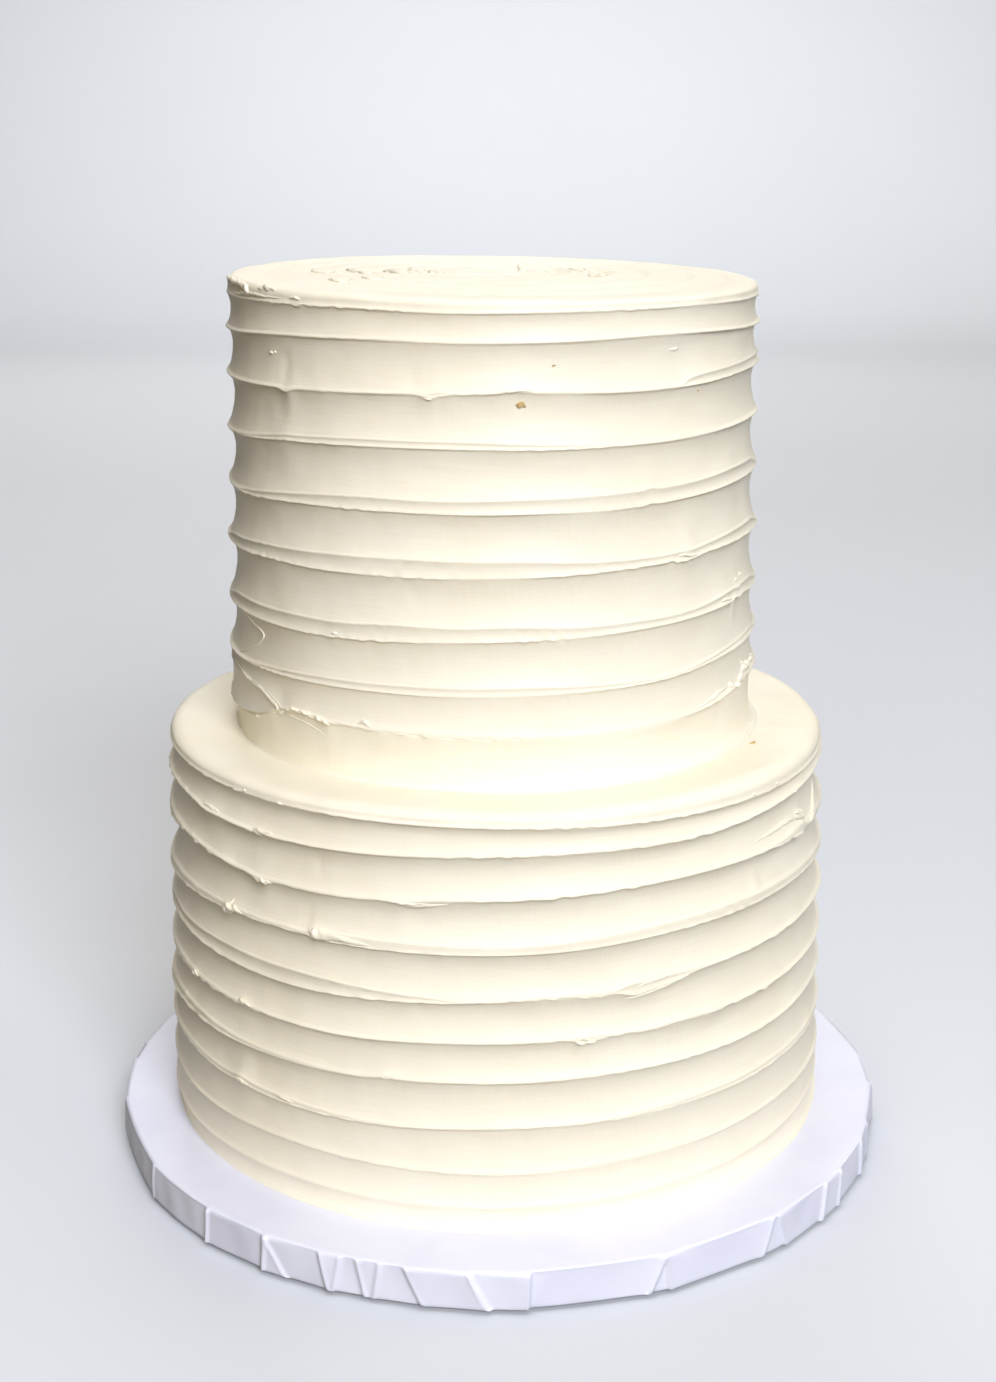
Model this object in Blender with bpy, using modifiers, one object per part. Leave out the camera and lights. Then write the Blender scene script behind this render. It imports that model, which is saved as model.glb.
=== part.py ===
"""Two-tier buttercream wedding cake on its round white cake board.

Blender 4.5 script, metres, +Z up. The origin is the middle of the board's underside and
the front of the cake faces -Y. Bearings are measured from the front, positive to the right.
Each tier is a turned solid whose side is a stack of shallow hollows scooped by a spatula,
with a crest between every two. The turned rings are then tilted and waved by a rule.
"""

import math

import bpy
import numpy as np

# Board, wrapped in white paper and pleated round its edge
BOARD_RADIUS = 0.127
BOARD_THICKNESS = 0.012
BOARD_EDGE_ROUND = 0.0018
BOARD_LOWER_CHAMFER = 0.0012
BOARD_SEGMENTS = 96
PLEAT_COUNT = 17
PLEAT_DEPTH = 0.0007
PLEAT_SHARPNESS = 6

# Uneven spacing of the pleats: waves round the edge, size in radians, phase
PLEAT_SPREAD = ((3.0, 0.16, 0.8), (5.0, 0.10, 0.0))

# Gap kept between two solids that touch in the real cake
SEAT_GAP = 0.0003

# Spatula texture: each crest goes up and down round the tier in two waves, of which the
# second is weaker, and the side swells and shrinks as it goes down
HOLLOW_POINTS = (0.22, 0.5, 0.78)
FOOT_HOLLOW_POINT = 0.45
FOOT_HOLLOW_SHARE = 0.5
CREST_WAVE = 0.0005
SECOND_WAVE = 0.7
SECOND_WAVE_LAG = 1.7
CREST_WAVE_STEP = 2.4
CREST_SWELL = 0.0003
SWELL_PER_METRE = 310.0

# Top face and shoulder: how far from the side the flat ends, where in each ring its valley
# is, and the shoulder's corners as distance from the side and drop below the top
TOP_FLAT_INSET = 0.0075
RING_VALLEY = 0.55
SHOULDER_CORNERS = ((0.0030, 0.0007), (0.0009, 0.0024))

# Points nearer than this to a level or a wall are taken to be on it
NEAR = 0.0001

# Turning and shading
MERGE_DISTANCE = 0.00001
SHARP_ANGLE = 40.0

# Each crest is (height of its lower edge at the front, rise to the right, width of its flat)
BOTTOM_CRESTS = (
    (0.1250, 0.0014, 0.0008),
    (0.1115, 0.0019, 0.0014),
    (0.0962, 0.0026, 0.0028),
    (0.0820, 0.0024, 0.0022),
    (0.0690, 0.0018, 0.0012),
    (0.0572, 0.0018, 0.0014),
    (0.0434, 0.0012, 0.0016),
    (0.0300, 0.0012, 0.0010),
    (0.0195, 0.0010, 0.0008),
)
TOP_CRESTS = (
    (0.2704, 0.0008, 0.0008),
    (0.2552, 0.0017, 0.0014),
    (0.2392, 0.0022, 0.0018),
    (0.2206, 0.0026, 0.0034),
    (0.2017, 0.0021, 0.0042),
    (0.1825, 0.0024, 0.0040),
    (0.1664, 0.0027, 0.0024),
    (0.1542, 0.0022, 0.0010),
)

BOTTOM_TIER = {
    "name": "bottom_tier",
    "centre": (-0.0010, 0.0030),
    "radius": 0.1086,
    "hollow": 0.0022,
    "underside": BOARD_THICKNESS + SEAT_GAP,
    "top": 0.1380,
    "rim": 0.1336,
    "rim_rise": -0.0010,
    "foot_radius": 0.1094,
    "foot_height": 0.0020,
    "crests": BOTTOM_CRESTS,
    "top_rings": 1,
    "ring_depth": 0.0,
    "segments": 44,
    "wave_seed": 7,
}
TOP_TIER = {
    "name": "top_tier",
    "centre": (-0.0020, 0.0005),
    "radius": 0.0868,
    "hollow": 0.0020,
    "underside": BOTTOM_TIER["top"] + SEAT_GAP,
    "top": 0.2868,
    "rim": 0.2804,
    "rim_rise": -0.0002,
    "foot_radius": 0.0882,
    "foot_height": 0.0024,
    "crests": TOP_CRESTS,
    "top_rings": 4,
    "ring_depth": 0.0011,
    "segments": 40,
    "wave_seed": 19,
}

BUTTERCREAM = ((0.93, 0.88, 0.75), 0.48)
WHITE_PAPER = ((0.86, 0.87, 0.92), 0.42)


def clear_scene():
    """Take away whatever the file starts with."""
    for obj in list(bpy.data.objects):
        bpy.data.objects.remove(obj, do_unlink=True)
    for collection in list(bpy.data.collections):
        bpy.data.collections.remove(collection)


def make_material(name, colour, roughness):
    """A Principled material of one colour."""
    material = bpy.data.materials.new(name)
    material.use_nodes = True
    shader = material.node_tree.nodes["Principled BSDF"]
    shader.inputs["Base Color"].default_value = (*colour, 1.0)
    shader.inputs["Roughness"].default_value = roughness
    shader.inputs["Metallic"].default_value = 0.0
    material.diffuse_color = (*colour, 1.0)
    return material


def turned_mesh(name, profile, segments):
    """Spin a profile, given from top to bottom, once round the Z axis into a closed mesh."""
    outline = bpy.data.meshes.new(name + "_outline")
    edges = [(i, i + 1) for i in range(len(profile) - 1)]
    outline.from_pydata([(radius, 0.0, height) for radius, height in profile], edges, [])
    blank = bpy.data.objects.new(name + "_outline", outline)
    bpy.context.scene.collection.objects.link(blank)
    screw = blank.modifiers.new("spin", "SCREW")
    screw.axis = "Z"
    screw.angle = math.tau
    screw.steps = segments
    screw.render_steps = segments
    screw.use_merge_vertices = True
    screw.merge_threshold = MERGE_DISTANCE
    bpy.context.view_layer.update()
    evaluated = blank.evaluated_get(bpy.context.evaluated_depsgraph_get())
    mesh = bpy.data.meshes.new_from_object(evaluated)
    mesh.name = name
    bpy.data.objects.remove(blank, do_unlink=True)
    bpy.data.meshes.remove(outline)
    return mesh


def read_points(mesh):
    """The mesh's points as one array of rows."""
    flat = np.empty(len(mesh.vertices) * 3, dtype=np.float64)
    mesh.vertices.foreach_get("co", flat)
    return flat.reshape(-1, 3)


def write_points(mesh, points):
    """Put moved points back into the mesh."""
    mesh.vertices.foreach_set("co", points.ravel())
    mesh.update()


def bearings(points):
    """Angle of each point round the Z axis, from the front (-Y) towards the right (+X)."""
    return np.arctan2(points[:, 0], -points[:, 1])


def place(name, mesh, material, collection):
    """Make the named object, smooth shaded, with its own material."""
    mesh.materials.append(material)
    mesh.shade_smooth()
    mesh.set_sharp_from_angle(angle=math.radians(SHARP_ANGLE))
    obj = bpy.data.objects.new(name, mesh)
    collection.objects.link(obj)
    return obj


def hollow_height(upper, lower, fraction):
    """Height of a point part of the way down the hollow between two crest edges."""
    return upper + (lower - upper) * fraction


def top_face_profile(tier):
    """The tier's top from its middle out to the rim: shallow turned rings, then a shoulder."""
    reach = tier["radius"] - TOP_FLAT_INSET
    rings = tier["top_rings"]
    profile = [(0.0, tier["top"])]
    for ring in range(rings):
        valley = reach * (ring + RING_VALLEY) / rings
        ridge = reach * (ring + 1.0) / rings
        profile.append((valley, tier["top"] - tier["ring_depth"]))
        profile.append((ridge, tier["top"]))
    for inset, drop in SHOULDER_CORNERS:
        profile.append((tier["radius"] - inset, tier["top"] - drop))
    profile.append((tier["radius"], tier["rim"]))
    return profile


def side_profile(tier):
    """The side from the rim to the foot: hollow, flat of a crest, hollow, and so on."""
    profile = []
    above = tier["rim"]
    for height, _, flat in tier["crests"]:
        for fraction in HOLLOW_POINTS:
            depth = tier["hollow"] * 4.0 * fraction * (1.0 - fraction)
            profile.append((tier["radius"] - depth, hollow_height(above, height + flat, fraction)))
        profile.append((tier["radius"], height + flat))
        profile.append((tier["radius"], height))
        above = height
    foot = tier["underside"] + tier["foot_height"]
    middle = hollow_height(above, foot, FOOT_HOLLOW_POINT)
    profile.append((tier["radius"] - FOOT_HOLLOW_SHARE * tier["hollow"], middle))
    profile.append((tier["foot_radius"], foot))
    profile.append((tier["foot_radius"], tier["underside"]))
    return profile


def crest_rise(tier, heights, turn):
    """How far each point of the side goes up with the tilt and wave of the crests near it.

    The rise of the two crests on either side of a point is mixed by its height. It fades
    out towards the foot, which stands level.
    """
    anchors = [tier["underside"] + tier["foot_height"]]
    lifts = [np.zeros_like(turn)]
    rows = list(reversed(tier["crests"]))
    for index, (height, rise, flat) in enumerate(rows):
        phase = tier["wave_seed"] + CREST_WAVE_STEP * index
        wave = np.sin(2.0 * turn + phase)
        wave += SECOND_WAVE * np.sin(3.0 * turn - SECOND_WAVE_LAG * phase)
        for edge in (height, height + flat):
            anchors.append(edge)
            lifts.append(rise * np.sin(turn) + CREST_WAVE * wave)
    anchors.append(tier["rim"])
    lifts.append(tier["rim_rise"] * np.sin(turn))
    anchors = np.array(anchors)
    lifts = np.array(lifts)
    slot = np.clip(np.searchsorted(anchors, heights, side="right") - 1, 0, len(anchors) - 2)
    share = (heights - anchors[slot]) / (anchors[slot + 1] - anchors[slot])
    share = np.clip(share, 0.0, 1.0)
    column = np.arange(len(turn))
    return lifts[slot, column] * (1.0 - share) + lifts[slot + 1, column] * share


def make_tier(tier, material, collection):
    """Turn one tier, tilt and wave its crests, and set it on its centre."""
    profile = top_face_profile(tier) + side_profile(tier) + [(0.0, tier["underside"])]
    mesh = turned_mesh(tier["name"], profile, tier["segments"])
    points = read_points(mesh)
    turn = bearings(points)
    radius = np.hypot(points[:, 0], points[:, 1])
    side = radius > tier["radius"] - 2.0 * tier["hollow"]
    side &= points[:, 2] < tier["rim"] + NEAR
    side &= points[:, 2] > tier["underside"] + NEAR
    lift = np.where(side, crest_rise(tier, points[:, 2], turn), 0.0)
    wave = np.sin(2.0 * turn + SWELL_PER_METRE * points[:, 2] + tier["wave_seed"])
    scale = 1.0 + np.where(side, CREST_SWELL * wave / np.maximum(radius, NEAR), 0.0)
    points[:, 0] = points[:, 0] * scale + tier["centre"][0]
    points[:, 1] = points[:, 1] * scale + tier["centre"][1]
    points[:, 2] += lift
    write_points(mesh, points)
    return place(tier["name"], mesh, material, collection)


def board_profile():
    """The board's section from the middle of its top to the middle of its underside."""
    profile = [(0.0, BOARD_THICKNESS)]
    for angle in np.radians((0.0, 30.0, 60.0, 90.0)):
        inset = BOARD_EDGE_ROUND * (1.0 - math.sin(angle))
        drop = BOARD_EDGE_ROUND * (1.0 - math.cos(angle))
        profile.append((BOARD_RADIUS - inset, BOARD_THICKNESS - drop))
    profile.append((BOARD_RADIUS, 0.5 * BOARD_THICKNESS))
    profile.append((BOARD_RADIUS, BOARD_LOWER_CHAMFER))
    profile.append((BOARD_RADIUS - BOARD_LOWER_CHAMFER, 0.0))
    profile.append((0.0, 0.0))
    return profile


def pleat_dent(turn):
    """Depth of the paper's pleats round the edge: narrow dents at uneven spacing."""
    spread = turn.copy()
    for waves, size, phase in PLEAT_SPREAD:
        spread += size * np.sin(waves * turn + phase)
    return PLEAT_DEPTH * np.abs(np.sin(0.5 * PLEAT_COUNT * spread)) ** PLEAT_SHARPNESS


def make_board(material, collection):
    """Turn the board and press the pleats of its paper wrap into the edge."""
    mesh = turned_mesh("cake_board", board_profile(), BOARD_SEGMENTS)
    points = read_points(mesh)
    radius = np.hypot(points[:, 0], points[:, 1])
    wall = (radius > BOARD_RADIUS - PLEAT_DEPTH) & (points[:, 2] > NEAR)
    dent = np.where(wall, pleat_dent(bearings(points)), 0.0)
    scale = 1.0 - dent / np.maximum(radius, NEAR)
    points[:, :2] *= scale[:, None]
    write_points(mesh, points)
    return place("cake_board", mesh, material, collection)


def main():
    clear_scene()
    collection = bpy.data.collections.new("tiered_wedding_cake")
    bpy.context.scene.collection.children.link(collection)
    make_board(make_material("white_paper", *WHITE_PAPER), collection)
    make_tier(BOTTOM_TIER, make_material("bottom_buttercream", *BUTTERCREAM), collection)
    make_tier(TOP_TIER, make_material("top_buttercream", *BUTTERCREAM), collection)


main()
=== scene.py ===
"""Dresses the two-tier wedding cake: spatula-textured buttercream and its paper-wrapped board.

Metres, +Z up. The front of the cake faces -Y. A bearing is an angle round the Z axis from
the front, positive to the right. The tables below, and the rows that surfaces are made of,
are in millimetres above the table top, with bearings in degrees.
"""

import math
from typing import NamedTuple

import bpy
import numpy as np
from bpy.props import FloatProperty, FloatVectorProperty, PointerProperty
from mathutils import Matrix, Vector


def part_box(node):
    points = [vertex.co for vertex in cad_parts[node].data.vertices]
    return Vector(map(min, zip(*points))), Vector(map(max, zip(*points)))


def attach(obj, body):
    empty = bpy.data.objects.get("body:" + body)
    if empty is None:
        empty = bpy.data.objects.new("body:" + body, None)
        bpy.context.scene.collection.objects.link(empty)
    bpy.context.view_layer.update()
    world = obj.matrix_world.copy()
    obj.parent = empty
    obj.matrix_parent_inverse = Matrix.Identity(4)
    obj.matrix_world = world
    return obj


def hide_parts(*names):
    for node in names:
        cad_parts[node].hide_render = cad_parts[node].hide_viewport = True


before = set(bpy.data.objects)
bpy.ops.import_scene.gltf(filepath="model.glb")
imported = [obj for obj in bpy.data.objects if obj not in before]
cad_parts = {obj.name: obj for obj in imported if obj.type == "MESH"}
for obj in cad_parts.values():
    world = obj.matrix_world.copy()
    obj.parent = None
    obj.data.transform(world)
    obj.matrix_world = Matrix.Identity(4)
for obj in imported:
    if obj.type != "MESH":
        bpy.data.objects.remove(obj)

bl_info = {
    "name": "Tiered wedding cake",
    "version": (1, 0, 0),
    "blender": (4, 5, 0),
    "location": "View3D > Sidebar > Cake",
    "description": "Ices a two-tier buttercream cake and wraps its board",
    "category": "Mesh",
}

MM = 0.001

# What the solids set: the board's radius and top, and the lower tier's top
BOARD_LOW, BOARD_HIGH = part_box("cake_board")
BOARD_RADIUS = 0.5 * (BOARD_HIGH.x - BOARD_LOW.x)
BOARD_TOP = BOARD_HIGH.z
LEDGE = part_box("bottom_tier")[1].z

# Columns round a tier and round the board, and how far a tier's crowd together in front
TIER_COLUMNS = 580
BOARD_COLUMNS = 1440
FRONT_CROWDING = 0.3


class Crest(NamedTuple):
    """One crest line: lower edge and width of the flat above it at the five front bearings, in
    millimetres, how deep the hollow above it is against the usual one, how ragged it is, and
    how strong its lips are. Where the flat is wide it is a strip with a groove under its upper
    lip, or, the nearer the last number is to nothing, one thick rounded bead."""

    edge: tuple
    flat: tuple
    hollow: float = 1.0
    ragged: float = 0.25
    lip: float = 1.0
    groove: float = 1.0


class Fork(NamedTuple):
    """A crest that parts into two from a bearing on, towards the left (-1) or the right (1):
    how far its edges go up and down in mm, and over how many degrees."""

    crest: int
    bearing: float
    side: int
    up: float
    down: float
    reach: float


class Nick(NamedTuple):
    """A short kink in a crest: bearing, half width in degrees, lift and stand-out in mm."""

    crest: int
    bearing: float
    spread: float
    lift: float
    proud: float


class Soft(NamedTuple):
    """A stretch between two bearings where a crest was smoothed and its lips are weaker."""

    crest: int
    start: float
    end: float
    share: float


class Dent(NamedTuple):
    """A soft hollow or bulge in the side: bearing, height, degrees, mm, mm outwards."""

    bearing: float
    height: float
    spread: float
    tall: float
    proud: float


class Split(NamedTuple):
    """A place where a crest breaks and its two edges stand apart from one bearing to another,
    where they have closed again: how far up and down they part, in mm, and over how many
    degrees they open."""

    crest: int
    start: float
    end: float
    up: float
    down: float
    opening: float = 1.3


class Bead(NamedTuple):
    """A raised line of icing along a path of (bearing, height) on the side or of (x, y) on the
    top face: thickness and stand-out in mm, how uneven it is, and the shares of its length
    that taper at its start and end."""

    path: tuple
    thick: float
    proud: float
    rough: float = 0.3
    tapers: tuple = (0.4, 0.4)


BOTTOM_RIM = (134.2, 133.9, 133.6, 131.9, 132.4)
BOTTOM_CRESTS = (
    Crest((124.8, 123.1, 125.0, 125.2, 128.2), (1.1, 0.9, 0.5, 0.4, 0.5), 1.25, 0.5, 1.2, 0.0),
    Crest((112.2, 109.4, 112.1, 113.6, 112.6), (1.2, 1.1, 0.6, 0.6, 2.0), 1.05, 0.5, 1.2, 0.2),
    Crest((93.5, 96.2, 96.1, 98.2, 99.0), (3.2, 1.4, 2.6, 3.3, 2.4), 1.05, 0.3, 1.2, 0.3),
    Crest((80.8, 79.3, 82.0, 84.2, 85.0), (2.8, 5.0, 0.6, 0.8, 0.5), 1.0, 0.4, 1.1, 0.8),
    Crest((67.2, 67.3, 69.5, 69.8, 70.7), (1.6, 0.9, 0.6, 0.4, 0.9), 1.0, 0.4, 1.1, 0.3),
    Crest((54.3, 55.3, 57.6, 57.7, 58.2), (3.0, 1.3, 0.4, 0.4, 0.5), 0.95, 0.3, 1.1, 0.4),
    Crest((42.4, 41.8, 43.6, 43.8, 44.5), (1.2, 1.8, 0.4, 1.7, 1.6), 0.9, 0.3, 1.0, 0.5),
    Crest((28.5, 30.3, 29.8, 31.0, 31.5), (0.5, 0.7, 0.5, 0.9, 0.6), 0.6, 0.2, 0.6),
    Crest((18.0, 19.4, 19.6, 20.2, 21.4), (0.5, 0.5, 0.5, 0.6, 0.5), 0.45, 0.1, 0.4),
)
TOP_RIM = (279.6, 279.7, 279.1, 279.3, 278.9)
TOP_CRESTS = (
    Crest((268.8, 270.6, 270.4, 271.2, 270.2), (0.5, 0.4, 0.4, 0.4, 0.5), 1.0, 0.15),
    Crest((253.7, 254.6, 255.8, 255.2, 257.3), (0.8, 0.4, 0.5, 0.4, 0.6), 1.0, 0.2),
    Crest((236.3, 239.0, 239.6, 239.3, 241.4), (1.0, 2.1, 2.2, 0.5, 0.5), 1.05, 0.2),
    Crest((218.4, 220.3, 220.5, 221.1, 223.6), (0.9, 3.6, 4.2, 4.9, 4.3), 1.05, 0.3),
    Crest((200.4, 201.0, 201.6, 202.8, 204.5), (3.3, 5.2, 5.2, 2.5, 4.1), 1.0, 0.45),
    Crest((180.8, 180.9, 182.8, 183.8, 185.7), (4.1, 5.0, 4.5, 2.5, 4.2), 1.0, 0.35),
    Crest((164.8, 165.8, 166.5, 167.2, 170.4), (0.5, 2.3, 2.7, 1.3, 2.2), 0.95, 0.2),
    Crest((154.6, 154.6, 153.8, 153.4, 157.8), (0.5, 0.7, 0.4, 0.4, 0.8), 0.85, 0.6),
)
BOTTOM_FORKS = (Fork(1, -66.0, -1, 0.2, 1.2, 3.0),)
TOP_FORKS = (
    Fork(1, 41.0, 1, 2.3, 0.0, 5.0),
    Fork(7, -49.0, -1, 4.6, 7.8, 11.0),
)
BOTTOM_SOFT = (Soft(6, -10.0, 30.0, 0.7),)
TOP_SOFT = (Soft(7, -24.0, 44.0, 0.12), Soft(6, -10.0, 20.0, 0.7))
BOTTOM_NICKS = (
    Nick(0, -55.0, 3.0, -0.3, 0.4),
    Nick(1, -40.5, 2.5, -0.7, 0.5),
    Nick(1, -14.0, 2.5, -0.5, 0.3),
    Nick(3, 17.0, 5.0, -1.1, 0.0),
    Nick(4, 24.5, 5.0, -0.6, 0.0),
    Nick(4, 36.5, 2.0, -0.4, 0.2),
    Nick(5, -17.0, 2.0, 0.5, 0.0),
    Nick(6, -46.0, 2.5, 0.6, 0.3),
)
TOP_NICKS = (
    Nick(1, -45.5, 2.0, -0.9, 0.3),
    Nick(1, -12.5, 1.8, -0.8, 0.2),
    Nick(1, 4.5, 3.0, 0.6, 0.1),
    Nick(2, -46.0, 3.0, 0.2, 0.1),
    Nick(3, 33.0, 1.2, 0.4, 0.1),
    Nick(4, 44.0, 2.5, -0.3, 0.4),
    Nick(5, 62.5, 1.3, -0.4, 0.3),
    Nick(7, -35.0, 2.0, -0.5, 0.3),
    Nick(7, -43.0, 4.0, 0.7, 0.2),
)
BOTTOM_DENTS = (
    Dent(47.5, 104.0, 1.3, 4.0, 0.5),
    Dent(-13.0, 106.5, 1.5, 3.0, -0.35),
    Dent(4.2, 40.5, 1.2, 2.5, -0.35),
    Dent(-29.0, 118.0, 1.0, 3.0, -0.3),
    Dent(-12.0, 79.0, 1.2, 2.0, -0.3),
    Dent(35.0, 62.0, 6.0, 4.0, -0.3),
    Dent(-58.0, 75.0, 5.0, 5.0, 0.3),
)
TOP_DENTS = (
    Dent(-46.5, 259.5, 1.6, 3.5, -0.5),
    Dent(-15.5, 259.0, 1.3, 2.5, -0.3),
    Dent(-55.0, 234.0, 1.4, 2.0, -0.35),
    Dent(-15.5, 197.0, 1.2, 1.5, -0.35),
    Dent(-17.0, 176.0, 1.0, 1.6, -0.35),
    Dent(16.0, 194.5, 1.8, 1.6, -0.3),
    Dent(5.5, 252.8, 1.0, 1.1, -0.9),
    Dent(12.0, 263.8, 0.9, 0.7, -0.4),
    Dent(-66.0, 282.4, 5.0, 0.8, -0.5),
    Dent(-62.0, 212.0, 7.0, 5.0, -0.3),
)
BOTTOM_SPLITS = (
    Split(2, -30.2, 8.0, 0.9, 0.6),
    Split(3, 20.5, 36.0, 0.6, 2.3, 4.5),
    Split(4, 12.4, 19.5, 0.1, 1.3),
    Split(1, 63.5, 50.0, 1.2, 0.6),
)
TOP_SPLITS = (
    Split(1, -12.0, -6.0, 0.2, 0.5),
    Split(5, 60.0, 78.0, 0.0, -0.9),
    Split(4, 39.5, 48.0, 0.2, 0.7),
)
BOTTOM_BEADS = (
    Bead(((-50.6, 94.6), (-49.2, 95.6), (-47.8, 96.5), (-46.4, 96.6), (-44.6, 96.2)),
         2.8, 1.1, 0.3, (0.3, 0.6)),
    Bead(((-48.5, 96.5), (-48.2, 98.0), (-47.7, 99.3)), 1.3, 0.7, 0.3, (0.2, 0.8)),
    Bead(((-49.8, 94.2), (-48.6, 94.6), (-47.0, 95.4)), 1.4, 0.9),
    Bead(((-30.0, 98.2), (-29.0, 97.3), (-27.6, 97.2), (-25.4, 97.4), (-22.5, 97.0), (-19.5, 96.6)),
         3.3, 1.1, 0.1, (0.12, 0.8)),
    Bead(((-30.1, 98.6), (-29.5, 97.4), (-28.8, 96.0)), 1.1, 0.8, 0.1, (0.3, 0.4)),
    Bead(((-41.8, 108.8), (-40.1, 108.8), (-38.8, 109.0), (-37.7, 109.1)), 1.5, 0.8, 0.3, (0.4, 0.3)),
    Bead(((-42.0, 124.2), (-40.1, 123.9), (-37.6, 124.2)), 1.8, 0.7),
    Bead(((-56.4, 125.2), (-54.3, 125.1), (-52.7, 124.8), (-51.1, 124.6)), 1.2, 0.6),
    Bead(((46.5, 116.7), (50.0, 117.2), (53.5, 117.6), (57.0, 118.1), (60.5, 117.8), (63.0, 116.6),
          (64.9, 115.2)),
         1.7, 0.9, 0.15, (0.6, 0.2)),
    Bead(((60.6, 118.6), (62.4, 118.4), (64.0, 117.0), (64.7, 115.6)), 1.9, 0.9, 0.3, (0.3, 0.3)),
    Bead(((65.8, 113.6), (68.0, 114.2), (71.0, 115.8), (74.5, 118.3), (78.0, 120.6)),
         1.5, 0.8, 0.15, (0.2, 0.5)),
    Bead(((20.4, 79.8), (23.1, 80.4), (26.7, 81.6), (29.5, 82.9), (32.0, 83.7)),
         1.3, 0.5, 0.1, (0.6, 0.4)),
    Bead(((22.4, 83.0), (24.0, 84.1), (25.8, 84.5), (27.4, 84.5)), 0.9, 0.5, 0.1),
    Bead(((12.4, 68.9), (13.4, 68.5), (15.1, 68.8), (17.7, 69.3)), 0.9, 0.6, 0.3, (0.2, 0.6)),
    Bead(((13.0, 69.5), (13.8, 69.9), (14.6, 69.6)), 0.8, 0.6),
    Bead(((-46.4, 67.9), (-44.8, 68.2), (-43.0, 67.9)), 1.6, 0.8, 0.3, (0.3, 0.5)),
    Bead(((-61.8, 67.2), (-60.5, 67.7), (-59.0, 67.6)), 1.5, 0.6),
    Bead(((-47.5, 42.9), (-45.6, 42.9), (-43.8, 42.6)), 1.0, 0.5),
    Bead(((-37.5, 43.0), (-35.5, 43.1), (-33.8, 42.9)), 0.9, 0.4),
    Bead(((-36.8, 134.3), (-35.0, 134.3)), 0.7, 0.5, 0.2, (0.5, 0.5)),
    Bead(((-44.4, 134.8), (-43.6, 134.9)), 0.8, 0.5, 0.2, (0.5, 0.5)),
    Bead(((45.4, 132.8), (46.4, 132.9)), 1.0, 0.5, 0.2, (0.5, 0.5)),
    Bead(((52.0, 133.0), (53.2, 133.2)), 0.8, 0.5, 0.2, (0.5, 0.5)),
    Bead(((58.0, 127.4), (59.4, 127.7)), 0.9, 0.5, 0.2, (0.5, 0.5)),
    Bead(((-80.5, 34.5), (-79.8, 36.5), (-80.2, 38.5)), 2.4, 1.2, 0.1, (0.5, 0.5)),
    Bead(((-66.5, 26.8), (-65.5, 27.8)), 0.9, 0.5, 0.2, (0.5, 0.5)),
    Bead(((-19.0, 110.6), (-16.5, 110.9), (-13.5, 110.6), (-10.5, 110.7)), 1.0, 0.5, 0.25, (0.5, 0.3)),
    Bead(((-15.0, 110.2), (-11.3, 110.2), (-7.0, 110.9)), 1.5, 0.5, 0.1, (0.3, 0.5)),
    Bead(((-18.0, 57.0), (-16.8, 57.6), (-16.2, 58.4)), 1.0, 0.5, 0.2, (0.4, 0.5)),
    Bead(((3.6, 44.0), (5.5, 44.3), (7.0, 44.1)), 0.8, 0.4, 0.2, (0.4, 0.5)),
)
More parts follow.
